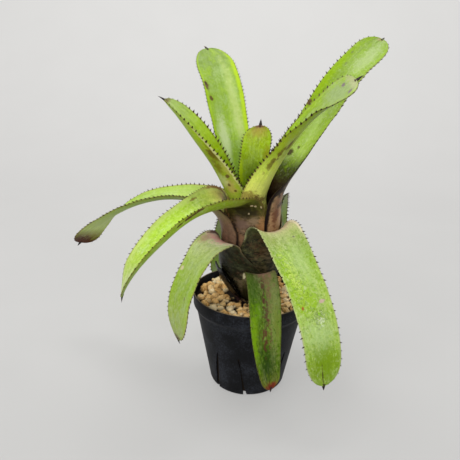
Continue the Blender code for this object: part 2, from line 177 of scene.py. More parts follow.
def link(name: str, data: bpy.types.ID) -> Object:
    """A new object in the scene."""
    made = bpy.data.objects.new(name, data)
    bpy.context.scene.collection.objects.link(made)
    return made


def turn_out(mesh: Mesh) -> Mesh:
    """Turn the faces of a closed mesh to point out."""
    bm = bmesh.new()
    bm.from_mesh(mesh)
    bmesh.ops.recalc_face_normals(bm, faces=bm.faces)
    bm.to_mesh(mesh)
    bm.free()
    return mesh


def shaded(mesh: Mesh, sharp: float) -> Mesh:
    """Shade a mesh smooth, but for edges sharper than an angle in degrees."""
    mesh.shade_smooth()
    mesh.set_sharp_from_angle(angle=math.radians(sharp))
    return mesh


@dataclass
class Shell:
    """Collects points, faces and the point attributes that the finishes read."""

    SHARP = 60.0

    points: list = field(default_factory=list)
    faces: list = field(default_factory=list)
    place: list = field(default_factory=list)
    reach: list = field(default_factory=list)
    face: list = field(default_factory=list)
    horn: list = field(default_factory=list)

    def add(self, points: np.ndarray, place: np.ndarray, reach: float, face: np.ndarray, horn: float) -> int:
        """Add a ring of points.

        Args:
            points: n by 3, in millimetres.
            place: n by 3, where each point lies on the flattened leaf, in millimetres.
            reach: -1 at the foot, 0 at the throat, 1 at the tip.
            face: 1 on the inner face and 0 on the outer one, n numbers.
            horn: 0 on the tissue, rising to 1 at a spine's point.

        Returns:
            The number of the ring's first point.
        """
        first = len(self.points)
        self.points.extend(points.tolist())
        self.place.extend(place.tolist())
        self.reach.extend([reach] * len(points))
        self.face.extend(face.tolist())
        self.horn.extend([horn] * len(points))
        return first

    def skin(self, rings: Sequence[int], count: int) -> None:
        """Faces between each closed ring of count points and the next."""
        for low, high in zip(rings, rings[1:]):
            for k in range(count):
                after = (k + 1) % count
                self.faces.append((low + k, low + after, high + after, high + k))

    def mesh(self, name: str) -> Mesh:
        """The finished mesh with its attributes, in metres."""
        mesh = bpy.data.meshes.new(name)
        mesh.from_pydata([(x * MM, y * MM, z * MM) for x, y, z in self.points], [], self.faces)
        turn_out(mesh)
        for label, values in (("reach", self.reach), ("face", self.face), ("horn", self.horn)):
            mesh.attributes.new(label, "FLOAT", "POINT").data.foreach_set("value", values)
        flat = [number for spot in self.place for number in spot]
        mesh.attributes.new("place", "FLOAT_VECTOR", "POINT").data.foreach_set("vector", flat)
        return shaded(mesh, self.SHARP)


def add_piece(
    name: str, mesh: Mesh, material: Material, slot: str, *nodes: str
) -> Object:
    """Put a mesh in the scene as a piece that stands for one or more solids.

    Args:
        name: the piece's name.
        mesh: its mesh, in metres.
        material: its finish.
        slot: the name of a material slot; not used.
        nodes: the solids it stands for.

    Returns:
        The object.
    """
    piece = link(name, mesh)
    mesh.materials.clear()
    mesh.materials.append(material)
    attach(piece, BODY)
    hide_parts(*nodes)
    return piece


# Shader nodes


class Sheet:
    """A node tree with short ways to add and link nodes."""

    def __init__(self, tree: NodeTree) -> None:
        """Keep the tree."""
        self.tree = tree

    def node(self, kind: str, **settings: object) -> Node:
        """Add a node of a kind and set its properties."""
        made = self.tree.nodes.new(kind)
        for key, value in settings.items():
            setattr(made, key, value)
        return made

    def feed(self, socket: NodeSocket, value: Value) -> None:
        """Link a socket to another or set its number or colour."""
        if isinstance(value, NodeSocket):
            self.tree.links.new(value, socket)
        elif isinstance(value, (int, float)):
            socket.default_value = value
        else:
            wanted = len(socket.default_value)
            socket.default_value = (*value, 1.0)[:wanted]

    def math(self, operation: str, a: Value, b: Value = 0.0, c: Value = 0.0) -> NodeSocket:
        """A Math node on two or three values."""
        made = self.node("ShaderNodeMath", operation=operation)
        for socket, value in zip(made.inputs, (a, b, c)):
            self.feed(socket, value)
        return made.outputs[0]

    def times(self, a: Value, b: Value) -> NodeSocket:
        """Two numbers multiplied."""
        return self.math("MULTIPLY", a, b)

    def times_plus(self, a: Value, b: Value, more: Value) -> NodeSocket:
        """Two numbers multiplied, and a third added."""
        return self.math("MULTIPLY_ADD", a, b, more)

    def flip(self, value: Value) -> NodeSocket:
        """One less a number."""
        return self.math("SUBTRACT", 1.0, value)

    def centred(self, value: Value) -> NodeSocket:
        """A number round 0.5 as one round 0."""
        return self.math("SUBTRACT", value, 0.5)

    def vector(self, operation: str, a: Value, b: Value) -> NodeSocket:
        """A Vector Math node on two vectors."""
        made = self.node("ShaderNodeVectorMath", operation=operation)
        self.feed(made.inputs[0], a)
        self.feed(made.inputs[1], b)
        return made.outputs["Vector"]

    def stretched(self, place: Value, x: float, y: float, z: float) -> NodeSocket:
        """A place with each axis multiplied by its own number."""
        return self.vector("MULTIPLY", place, (x, y, z))

    def give(self, node: Node, **inputs: Value) -> Node:
        """Feed a node's inputs by name, their spaces written as underscores."""
        for key, value in inputs.items():
            self.feed(node.inputs[key.replace("_", " ")], value)
        return node

    def axis(self, place: Value, name: str) -> NodeSocket:
        """One axis of a vector."""
        return self.give(self.node("ShaderNodeSeparateXYZ"), Vector=place).outputs[name]

    def spot(self, x: float, y: float, z: float) -> NodeSocket:
        """The place in the object, in metres, with each axis multiplied by its own number."""
        return self.stretched(self.node("ShaderNodeTexCoord").outputs["Object"], x, y, z)

    def bump(self, shader: Node, height: Value, strength: float, depth: float) -> None:
        """Feed a shader's normal from a height, depth being the bump's distance in millimetres."""
        made = self.node("ShaderNodeBump")
        self.give(made, Strength=strength, Distance=depth * MM, Height=height)
        self.give(shader, Normal=made.outputs["Normal"])

    def ease(self, value: Value, low: Value, high: Value) -> NodeSocket:
        """0 below low and 1 above high, eased between them."""
        made = self.node("ShaderNodeMapRange", interpolation_type="SMOOTHSTEP")
        return self.give(made, Value=value, From_Min=low, From_Max=high).outputs["Result"]

    def spread(self, value: Value, low: float, high: float) -> NodeSocket:
        """A value from 0 to 1 stretched to low to high."""
        made = self.node("ShaderNodeMapRange")
        return self.give(made, Value=value, To_Min=low, To_Max=high).outputs["Result"]

    def mix(self, share: Value, a: Value, b: Value, blend: str = "MIX") -> NodeSocket:
        """Mix two colours by a share."""
        made = self.node("ShaderNodeMix", data_type="RGBA", blend_type=blend)
        self.feed(made.inputs["Factor"], share)
        self.feed(made.inputs[6], a)
        self.feed(made.inputs[7], b)
        return made.outputs[2]

    def paint(self, share: Value, under: Value, colour: Paint) -> NodeSocket:
        """Lay a display colour over another by a share."""
        return self.mix(share, under, srgb(*colour))

    def noise(self, place: Value, scale: float, detail: float = 3.0, rough: float = 0.55) -> NodeSocket:
        """A noise value round 0.5 at a place."""
        made = self.node("ShaderNodeTexNoise")
        return self.give(made, Vector=place, Scale=scale, Detail=detail, Roughness=rough).outputs[0]

    def ramp(self, share: Value, stops: Sequence[Stop]) -> NodeSocket:
        """A colour ramp through stops of (position, linear colour)."""
        made = self.give(self.node("ShaderNodeValToRGB"), Fac=share)
        while len(made.color_ramp.elements) < len(stops):
            made.color_ramp.elements.new(0.5)
        for element, (position, colour) in zip(made.color_ramp.elements, stops):
            element.position = position
            element.color = (*colour, 1.0)
        return made.outputs["Color"]

    def coat(self, share: Value, *stops: tuple[float, Paint]) -> NodeSocket:
        """A colour ramp through stops of (position, display colour)."""
        return self.ramp(share, [(position, srgb(*colour)) for position, colour in stops])

    def attribute(self, name: str, output: str = "Fac") -> NodeSocket:
        """A mesh attribute as a number or, with output Vector, a vector."""
        return self.node("ShaderNodeAttribute", attribute_name=name).outputs[output]

    def within(self, value: Value, middle: Value, half: Value) -> NodeSocket:
        """How far a value is from a middle, as a share of a half width."""
        return self.math("DIVIDE", self.math("SUBTRACT", value, middle), half)

    def group(self, tree: NodeTree, **inputs: Value) -> Sockets:
        """Place a node group and feed its inputs. Its outputs come back."""
        return self.give(self.node("ShaderNodeGroup", node_tree=tree), **inputs).outputs


class Effects:
    """Node groups that more than one finish uses, each built once."""

    # How much each noise is squeezed across, along and through a leaf; less than 1 draws it out
    VEIN_DRAW = 0.025
    CLOUD_DRAW = (1.0, 0.38, 1.0)
    GRAIN_DRAW = (1.9, 1.1, 1.0)
    BAND_DRAW = (0.10, 0.16, 0.5)
    AREA_DRAW = (0.085, 0.048, 0.2)
    TICK_DRAW = (0.75, 1.5, 1.0)
    FLECK_DRAW = (0.42, 0.30, 0.7)
    # The torn edges of patches, and the lime added at a margin
    TEAR_SCALE = 0.24
    TEAR_DEPTH = 2.6
    MARGIN_LIME = 0.09

    def __init__(self) -> None:
        """Build every group."""
        self.veins = self._veins()
        self.clouds = self._clouds()
        self.scurf = self._scurf()
        self.patch = self._patch()
        self.specks = self._specks()
        self.edge = self._edge()
        self.mottle = self._mottle()

    @staticmethod
    def _start(name: str, inputs: Sequence[str], *outputs: str) -> tuple[Sheet, Sockets, Sockets]:
        """An empty group's sheet, inputs and outputs. Place is a vector and all else a number."""
        tree = bpy.data.node_groups.new(name, "ShaderNodeTree")
        for side, labels in (("INPUT", inputs), ("OUTPUT", outputs)):
            for label in labels:
                kind = "NodeSocketVector" if label == "Place" else "NodeSocketFloat"
                tree.interface.new_socket(label, in_out=side, socket_type=kind)
        sheet = Sheet(tree)
        return sheet, sheet.node("NodeGroupInput").outputs, sheet.node("NodeGroupOutput").inputs

    def _veins(self) -> NodeTree:
        """Fine lines along the leaf: a noise that is drawn out lengthwise."""
        sheet, given, made = self._start("leaf_veins", ("Place", "Spacing"), "Lines")
        across = sheet.math("DIVIDE", 1.0, given["Spacing"])
        lengthwise = sheet.times(across, self.VEIN_DRAW)
        stretch = sheet.node("ShaderNodeCombineXYZ")
        for socket, value in zip(stretch.inputs, (across, lengthwise, 1.0)):
            sheet.feed(socket, value)
        drawn = sheet.vector("MULTIPLY", given["Place"], stretch.outputs[0])
        sheet.feed(made["Lines"], sheet.noise(drawn, 1.0, 2.0, 0.6))
        return sheet.tree

    def _clouds(self) -> NodeTree:
        """Soft lighter and darker areas, longer than they are wide."""
        sheet, given, made = self._start("leaf_clouds", ("Place", "Width", "Contrast"), "Cloud")
        drawn = sheet.stretched(given["Place"], *self.CLOUD_DRAW)
        value = sheet.noise(sheet.vector("DIVIDE", drawn, given["Width"]), 1.0, 4.0, 0.6)
        cloud = sheet.times_plus(sheet.centred(value), given["Contrast"], 0.5)
        sheet.feed(made["Cloud"], cloud)
        return sheet.tree

    def _scurf(self) -> NodeTree:
        """Silvery scales: fine grains gathered in faint bands across the leaf."""
        sheet, given, made = self._start("silver_scurf", ("Place", "Amount"), "Mask")
        grains = sheet.noise(sheet.stretched(given["Place"], *self.GRAIN_DRAW), 1.0, 2.0, 0.7)
        bands = sheet.noise(sheet.stretched(given["Place"], *self.BAND_DRAW), 1.0, 3.0, 0.6)
        fine = sheet.ease(grains, 0.42, 0.72)
        broad = sheet.ease(bands, 0.35, 0.68)
        both = sheet.times(sheet.times_plus(fine, 0.7, 0.3), broad)
        sheet.feed(made["Mask"], sheet.times(both, given["Amount"]))
        return sheet.tree

    def _patch(self) -> NodeTree:
        """An oval patch on a leaf with a soft or torn edge."""
        form = ("Centre Reach", "Centre Across", "Half Length", "Half Width")
        look = ("Softness", "Raggedness", "Strength")
        sheet, given, made = self._start("leaf_patch", ("Reach", "Across", "Place", *form, *look), "Mask")
        lengthwise = sheet.within(given["Reach"], given["Centre Reach"], given["Half Length"])
        sideways = sheet.within(given["Across"], given["Centre Across"], given["Half Width"])
        square = sheet.times_plus(lengthwise, lengthwise, sheet.times(sideways, sideways))
        torn = sheet.centred(sheet.noise(given["Place"], self.TEAR_SCALE, 5.0, 0.72))
        ragged = sheet.times(given["Raggedness"], self.TEAR_DEPTH)
        distance = sheet.times_plus(torn, ragged, sheet.math("SQRT", square))
        low = sheet.flip(given["Softness"])
        high = sheet.math("ADD", 1.0, given["Softness"])
        inside = sheet.flip(sheet.ease(distance, low, high))
        sheet.feed(made["Mask"], sheet.times(inside, given["Strength"]))
        return sheet.tree

    def _specks(self) -> NodeTree:
        """Scattered small round specks, one in some of the cells."""
        sheet, given, made = self._start("specks", ("Place", "Cell", "Share", "Radius"), "Mask")
        cells = sheet.node("ShaderNodeTexVoronoi", feature="F1")
        sheet.feed(cells.inputs["Vector"], sheet.vector("DIVIDE", given["Place"], given["Cell"]))
        cells.inputs["Scale"].default_value = 1.0
        rim = sheet.times(given["Radius"], 0.5)
        dot = sheet.flip(sheet.ease(cells.outputs["Distance"], rim, given["Radius"]))
        pick = sheet.node("ShaderNodeSeparateColor")
        sheet.feed(pick.inputs[0], cells.outputs["Color"])
        chosen = sheet.math("LESS_THAN", pick.outputs[0], given["Share"])
        sheet.feed(made["Mask"], sheet.times(dot, chosen))
        return sheet.tree

    def _mottle(self) -> NodeTree:
        """Where the tissue is limier, where it is bloomed over, short darker ticks and flecks."""
        sheet, given, made = self._start(
            "leaf_mottle", ("Place", "Across"), "Lime", "Bloom", "Ticks", "Flecks", "Pale"
        )
        place = given["Place"]
        areas = sheet.noise(sheet.stretched(place, *self.AREA_DRAW), 1.0, 5.0, 0.68)
        margin = sheet.ease(sheet.math("ABSOLUTE", given["Across"]), 0.45, 1.0)
        areas = sheet.times_plus(margin, self.MARGIN_LIME, areas)
        ticks = sheet.noise(sheet.stretched(place, *self.TICK_DRAW), 1.0, 2.0, 0.6)
        flecks = sheet.noise(sheet.stretched(place, *self.FLECK_DRAW), 1.0, 4.0, 0.72)
        for label, value, low, high in (
            ("Lime", areas, 0.50, 0.63), ("Bloom", areas, 0.52, 0.36), ("Ticks", ticks, 0.56, 0.66),
            ("Flecks", flecks, 0.53, 0.59), ("Pale", flecks, 0.46, 0.38),
        ):
            sheet.feed(made[label], sheet.ease(value, low, high))
        return sheet.tree

    def _edge(self) -> NodeTree:
        """The margin of a leaf: 1 at the very edge, fading over a share of the half width."""
        sheet, given, made = self._start("leaf_edge", ("Across", "Width"), "Mask")
        apart = sheet.math("ABSOLUTE", given["Across"])
        sheet.feed(made["Mask"], sheet.ease(apart, sheet.flip(given["Width"]), 1.0))
        return sheet.tree


def new_material(name: str) -> tuple[Material, Sheet, Node]:
    """A material of a name, with its sheet and its Principled shader."""
    material = bpy.data.materials.new(f"{name}_finish")
    material.use_nodes = True
    return material, Sheet(material.node_tree), material.node_tree.nodes["Principled BSDF"]


# Leaves


@dataclass(frozen=True)
class Ground:
    """A leaf material's nodes, the shared groups, and where on the leaf a point is."""

    sheet: Sheet
    effects: Effects
    place: NodeSocket
    reach: NodeSocket
    across: NodeSocket


@dataclass(frozen=True)
class Patch:
    """A tinted or scarred area of a leaf, or a painted highlight or shade on it, in shares of its length and
    half width.
    """

    colour: Paint
    reach: float
    across: float
    half_length: float
    half_width: float
    softness: float = 0.5
    raggedness: float = 0.4
    strength: float = 1.0
    face: Face = INNER

    def mask(self, on: Ground) -> NodeSocket:
        """The patch's strength at a point, 0 off it."""
        return on.sheet.group(
            on.effects.patch, Reach=on.reach, Across=on.across, Place=on.place, Centre_Reach=self.reach,
            Centre_Across=self.across, Half_Length=self.half_length, Half_Width=self.half_width,
            Softness=self.softness, Raggedness=self.raggedness, Strength=self.strength,
        )["Mask"]


@dataclass(frozen=True)
class LeafFinish:
    """Colours of a leaf's two faces from foot to tip, and how its tissue is marked."""

    inner: Coat
    outer: Coat
    patches: tuple[Patch, ...] = ()
    clouds: float = 0.55
    veins: float = 0.30
    scurf: float = 0.12
    specks: float = 0.03
    blotch: Paint = (40, 28, 14)
    blotch_amount: float = 0.35
    edge: Paint = (120, 120, 50)
    edge_strength: float = 0.5
    silver: Paint = (194, 208, 158)
    lime: Paint = (146, 184, 6)
    lime_amount: float = 0.55
    bloom: Paint = (176, 198, 142)
    bloom_amount: float = 0.40
    ticks: float = 0.30
    fleck: Paint = (122, 158, 12)
    fleck_amount: float = 0.20
    pale_amount: float = 0.12
    crust: float = 0.55
    wet: tuple[Patch, ...] = ()
    spine_foot: Paint = (66, 40, 24)
    spine: Paint = (26, 15, 12)
    point: Paint = (38, 26, 30)
    roughness: float = 0.42
    sheen: float = 0.12

    # The same on every leaf
    SPECK = (64, 48, 30)
    SPECK_CELL = 4.2
    SPECK_RADIUS = 0.16
    CLOUD_WIDTH = 4.0
    FINE_VEINS = 0.9
    BROAD_VEINS = 3.1
    RAISED_VEINS = 0.8
    EDGE_WIDTH = 0.10
    TICK_SHADE = (0.50, 0.54, 0.38)
    LIGHT_AND_DARK = ((0.0, (0.50, 0.52, 0.45)), (0.5, (0.96, 0.96, 0.94)), (1.0, (1.26, 1.22, 1.22)))
    CRUST = ((0.36, (0.40, 0.38, 0.36)), (0.5, (1.0, 1.0, 1.0)), (0.64, (1.9, 1.75, 1.55)))

    def _tissue(self, on: Ground, coat: Coat) -> NodeSocket:
        """The clouded, veined colour of one face, whose coat runs from foot to tip."""
        sheet, effects, place = on.sheet, on.effects, on.place
        share = sheet.times_plus(on.reach, 0.5, 0.5)
        plain = sheet.coat(share, *(((stop + 1.0) / 2.0, colour) for stop, colour in coat))
        width, contrast = self.CLOUD_WIDTH, self.clouds
        shade = sheet.group(effects.clouds, Place=place, Width=width, Contrast=contrast)["Cloud"]
        for spacing, depth in ((self.FINE_VEINS, 2.0), (self.BROAD_VEINS, 2.4)):
            lines = sheet.group(effects.veins, Place=place, Spacing=spacing)["Lines"]
            shade = sheet.times_plus(sheet.centred(lines), self.veins * depth, shade)
        return sheet.mix(1.0, plain, sheet.ramp(shade, self.LIGHT_AND_DARK), "MULTIPLY")

    def make(self, name: str, effects: Effects) -> Material:
        """The leaf's material."""
        material, sheet, shader = new_material(name)
        place = sheet.attribute("place", "Vector")
        reach = sheet.attribute("reach")
        face = sheet.attribute("face")
        horn = sheet.attribute("horn")
        across = sheet.math("DIVIDE", sheet.axis(place, "X"), PLACE_HALF_WIDTH)
        on = Ground(sheet, effects, place, reach, across)
        inner, outer = self._tissue(on, self.inner), self._tissue(on, self.outer)
        colour = sheet.mix(face, outer, inner)
        blade = sheet.ease(reach, 0.02, 0.22)
        mottle = sheet.group(effects.mottle, Place=place, Across=across)
        for kind, amount, shade in (
            ("Lime", self.lime_amount, self.lime),
            ("Bloom", self.bloom_amount, self.bloom),
            ("Flecks", self.fleck_amount, self.fleck),
            ("Pale", self.pale_amount, self.silver),
        ):
            colour = sheet.paint(sheet.times(sheet.times(mottle[kind], amount), blade), colour, shade)
        colour = sheet.mix(sheet.times(mottle["Ticks"], self.ticks), colour, self.TICK_SHADE, "MULTIPLY")
        scurf = sheet.group(effects.scurf, Place=place, Amount=self.scurf)["Mask"]
        colour = sheet.paint(scurf, colour, self.silver)
        edge = sheet.group(effects.edge, Across=across, Width=self.EDGE_WIDTH)["Mask"]
        edge = sheet.times(edge, sheet.ease(reach, -0.10, 0.05))
        colour = sheet.paint(sheet.times(edge, self.edge_strength), colour, self.edge)

        outside = sheet.flip(face)
        stained = sheet.ease(sheet.noise(place, 0.34, 4.0, 0.65), 0.50, 0.66)
        sheath = sheet.flip(sheet.ease(reach, -0.05, 0.10))
        stained = sheet.times(stained, sheet.times(sheath, self.blotch_amount))
        colour = sheet.paint(stained, colour, self.blotch)
        crust = sheet.ramp(sheet.noise(place, 0.42, 4.0, 0.72), self.CRUST)
        colour = sheet.mix(sheet.times(sheath, self.crust), colour, crust, "MULTIPLY")
        for patch in self.patches:
            mask = patch.mask(on)
            if patch.face is not BOTH:
                mask = sheet.times(mask, face if patch.face is INNER else outside)
            colour = sheet.paint(mask, colour, patch.colour)
        wetness: Value = 0.0
        for patch in self.wet:
            wetness = sheet.math("MAXIMUM", wetness, patch.mask(on))
        specks = sheet.group(
            effects.specks, Place=place, Cell=self.SPECK_CELL, Share=self.specks, Radius=self.SPECK_RADIUS
        )["Mask"]
        colour = sheet.paint(sheet.times(specks, 0.75), colour, self.SPECK)
        colour = sheet.paint(sheet.ease(horn, 0.02, 0.24), colour, self.spine_foot)
        colour = sheet.paint(sheet.ease(horn, 0.35, 0.80), colour, self.spine)
        colour = sheet.paint(sheet.ease(horn, 1.15, 1.35), colour, self.point)
        sheet.give(shader, Base_Color=colour, Specular_IOR_Level=self.sheen)

        rough = sheet.spread(sheet.noise(place, 0.35, 3.0), self.roughness - 0.10, self.roughness + 0.14)
        rough = sheet.times_plus(scurf, 0.25, rough)
        sheet.give(shader, Roughness=sheet.times_plus(wetness, -0.30, rough))
        lines = sheet.group(effects.veins, Place=place, Spacing=self.RAISED_VEINS)["Lines"]
        pits = sheet.noise(place, 1.3, 3.0, 0.6)
        swell = sheet.noise(place, 0.16, 2.0)
        height = sheet.times_plus(pits, 0.35, sheet.times(lines, 0.6))
        height = sheet.times_plus(swell, 2.2, height)
        drops = sheet.times(sheet.ease(sheet.noise(place, 0.45, 1.0), 0.46, 0.66), 2.2)
        height = sheet.times_plus(drops, wetness, height)
        sheet.bump(shader, height, 0.8, 0.35)
        return material


PLACE_HALF_WIDTH: float = 18.0
FACES_APART: float = 40.0
# A margin's point, way out, normal, place and reach at each section
Margin = list[tuple[Vector, Vector, Vector, float, float]]


@dataclass
class Section:
    """One cross-section of a leaf: a circular arc from margin to margin."""

    centre: Vector
    side: Vector
    face: Vector
    ahead: Vector
    half_width: float
    curl: float
    thick: float
    place: float
    reach: float
    lap: Pair = (0.0, 0.0)

    def angle(self, across: Union[float, np.ndarray]) -> Union[float, np.ndarray]:
        """How far round the arc a place lies, in radians: a margin that laps further goes further."""
        return across * (self.curl + np.where(np.asarray(across) < 0.0, *self.lap))


@dataclass(frozen=True)
class Leaf:
    """One leaf. Pairs are (at the foot, at the throat); longer rows run from throat to tip."""

    name: str
    finish: LeafFinish
    layer: float
    heading: Pair
    wrap: Pair
    throat: float
    bend: float
    length: float
    half_width: float
    taper: float
    round_from: float
    swing: tuple[float, ...]
    climb: tuple[float, ...]
    twist: tuple[float, ...]
    curl: tuple[float, ...]
    neck: tuple[float, ...] = ()
    lap_left: tuple[float, ...] = (0.0, 0.0)
    lap_right: tuple[float, ...] = (0.0, 0.0)
    blister: tuple[float, ...] = ()
    spine_pitch: Pair = (3.2, 4.6)
    spine_length: float = 2.3
    point_length: float = 6.0
    point_half_width: float = 1.5
    wave: float = 0.35
    keel: float = 0.15

    # The mesh and its thickness
    ROW_STEP = 1.4
    SHEATH_STEPS = 1.6
    COLUMNS = 26
    EVEN, CROWDED = 0.55, 0.45
    TIP_ROWS = 16
    LAST_ROW = 0.9985
    MIDDLE_THICK = 1.2
    EDGE_THICK = 0.55
    EDGE_ROUND = 0.35
    FLARE_SHARE = 0.42
    LAP_FADE = 20.0
    FLATTEST = 0.01
    # Waves, keel and blisters of the blade
    PHASE_STEP = 1.7
    FREE_REACH = 0.30
    FREE_WIDTH = 6.0
    WAVE_PITCH = 15.0
    WAVE_HEIGHT = 2.2
    KEEL_WIDTH = 0.09
    BLISTER_FADE = 0.06
    BLISTERS_ACROSS = 6.5
    BLISTER_PITCH = 2.6
    # Spines and the point
    SPINE_START = 3.0
    FIRST_SPINE = (0.2, 0.8)
    LAST_SMALL_SPINE = 16.0
    SPINE_RATIOS = (0.46, 0.28)
    SPINE_SUNK = 0.6
    SIZE_SCATTER = (0.80, 1.15)
    PITCH_SCATTER = (0.84, 1.16)
    POINT_SUNK = 1.6
    POINT_HALF_THICK = 0.75
    POINT_HORN = 1.6
    POINT_LEAN = (0.25, 0.4)
    HOOK_SIDES = 8
    HOOK_LEVELS = 5
    HOOK_LEAN = (0.10, 0.45)
    HOOK_TAPER = 0.85
    HORN_AT_ROOT = 0.3

    def _lap_at(self, share: float, strength: float) -> Pair:
        """How much further than the solid's the margins wrap at a share of the sheath, in radians."""
        return tuple(math.radians(along(row, share)) * strength for row in (self.lap_left, self.lap_right))

    def sheath_sections(self) -> list[Section]:
        """Level arcs round the plant from the stem to the throat."""
        foot = TUBE.foot_of(self.layer)
        count = max(4, round((self.throat - foot) / (self.SHEATH_STEPS * self.ROW_STEP)))
        sections = []
        for i in range(count):
            share = i / count
            height = foot + (self.throat - foot) * share
            radius = TUBE.radius_at(height, self.layer)
            middle = Vector((0.0, 0.0, height))
            if self.neck:
                x, y, own_radius = self.neck
                radius += (own_radius - radius) * share**2
                middle += Vector((x, y, 0.0)) * share**2
            angle = math.radians(self.heading[0] + (self.heading[1] - self.heading[0]) * share)
            wrap = math.radians(self.wrap[0] + (self.wrap[1] - self.wrap[0]) * share)
            way = outward(angle)
            side = Vector((-way.y, way.x, 0.0))
            sections.append(
                Section(
                    middle + way * radius, side, -way, Vector((0, 0, 1)), radius * wrap, wrap,
                    TUBE.sheath_thick, height - self.throat, share - 1.0, self._lap_at(share, 1.0),
                )
            )
        return sections

    def blade_frame(self, place: float, bend_length: float) -> tuple[Vector, Vector, Vector, float]:
        """Direction, side and face vectors and channel angle at a distance from the throat.

        Args:
            place: distance along the midrib from the throat.
            bend_length: length of the bend.

        Returns:
            The three unit vectors, and half the channel's angle in radians.
        """
        share = min(max((place - bend_length) / self.length, 0.0), 1.0)
        if place < bend_length:
            bent = place / bend_length
            climb = 90.0 + (self.climb[0] - 90.0) * bent
            swing = twist = 0.0
            curl = self.wrap[1] + (self.curl[0] - self.wrap[1]) * smooth(bent)
        else:
            climb = along(self.climb, share)
            swing = along((0.0, *self.swing), share)
            twist = math.radians(along((0.0, *self.twist), share))
            curl = along(self.curl, share)
        angle = math.radians(self.heading[1] + swing)
        slope = math.radians(climb)
        way = outward(angle)
        ahead = way * math.cos(slope) + Vector((0.0, 0.0, math.sin(slope)))
        level = Vector((-way.y, way.x, 0.0))
        over = ahead.cross(level)
        side = level * math.cos(twist) + over * math.sin(twist)
        face = over * math.cos(twist) - level * math.sin(twist)
        return ahead, side, face, math.radians(curl)

    def blade_sections(self) -> list[Section]:
        """Sections from the throat to the tip, marched along the midrib in short steps."""
        bend_length = self.bend * math.radians(abs(90.0 - self.climb[0]))
        total = bend_length + self.length
        if self.neck:
            x, y, radius = self.neck
        else:
            x, y, radius = 0.0, 0.0, TUBE.radius_at(self.throat, self.layer)
        centre = Vector((x, y, self.throat)) + outward(math.radians(self.heading[1])) * radius
        root_width = radius * math.radians(self.wrap[1])
        straight = bend_length + self.length * self.round_from
        rows = round(straight / self.ROW_STEP)
        places = [straight * i / rows for i in range(rows)]
        tip = total - straight
        places += [straight + tip * math.sin(math.pi / 2 * i / self.TIP_ROWS) for i in range(self.TIP_ROWS)]
        places.append(straight + tip * self.LAST_ROW)
        sections = []
        reached = 0.0
        for place in places:
            steps = max(1, math.ceil(place - reached))
            for i in range(steps):
                middle = reached + (place - reached) * (i + 0.5) / steps
                centre = centre + self.blade_frame(middle, bend_length)[0] * ((place - reached) / steps)
            reached = place
            ahead, side, face, curl = self.blade_frame(place, bend_length)
            share = max((place - bend_length) / self.length, 0.0)
            width = root_width + (self.half_width - root_width) * smooth(place / (self.FLARE_SHARE * total))
            end = min(max((share - self.round_from) / (1.0 - self.round_from), 0.0), 1.0)
            width *= (1.0 - self.taper * share) * math.sqrt(max(1.0 - end**2, 0.0))
            lap = self._lap_at(1.0, 1.0 - smooth(place / max(bend_length, self.LAP_FADE)))
            sections.append(
                Section(centre, side, face, ahead, width, curl, self.MIDDLE_THICK, place, place / total, lap)
            )
        return sections

    def _ring(
        self, section: Section, across: np.ndarray, phase: float
    ) -> tuple[np.ndarray, np.ndarray, np.ndarray]:
        """Points of a section's inner and outer face, and its surface normals.

        Args:
            section: the cross-section.
            across: -1 to 1 from margin to margin.
            phase: this leaf's own place in the waviness.

        Returns:
            The inner points, the outer points and the normals towards the inner face.
        """
        if abs(section.curl) < self.FLATTEST:
            section.curl = self.FLATTEST
        radius = section.half_width / section.curl
        angle = section.angle(across)[:, None]
        side, face = np.array(section.side), np.array(section.face)
        middle = np.array(section.centre) + side * radius * np.sin(angle)
        middle = middle + face * radius * (1 - np.cos(angle))
        normal = face * np.cos(angle) - side * np.sin(angle)
        free = smooth(section.reach / self.FREE_REACH) * min(1.0, section.half_width / self.FREE_WIDTH)
        far = section.place / self.WAVE_PITCH
        ripple = [noise.noise(Vector((far, phase + 3.0 * sign, 0.5))) for sign in (-1.0, 1.0)]
        lift = np.where(across < 0.0, *ripple) * np.abs(across) ** 3 * self.wave * self.WAVE_HEIGHT
        lift = (lift - self.keel * np.exp(-((across / self.KEEL_WIDTH) ** 2))) * free
        if self.blister:
            start, end, height = self.blister
            zone = smooth((section.reach - start) / self.BLISTER_FADE)
            zone *= smooth((end - section.reach) / self.BLISTER_FADE)
            far = section.place / self.BLISTER_PITCH
            bumps = np.array([noise.noise(Vector((u * self.BLISTERS_ACROSS, far, phase))) for u in across])
            lift = lift + np.maximum(bumps, 0.0) * (1.0 - across**2) * height * zone
        middle = middle + normal * lift[:, None]
        thick = self.EDGE_THICK + (section.thick - self.EDGE_THICK) * np.sqrt(1.0 - across**8)
        half = (thick / 2)[:, None]
        return middle + normal * half, middle - normal * half, normal

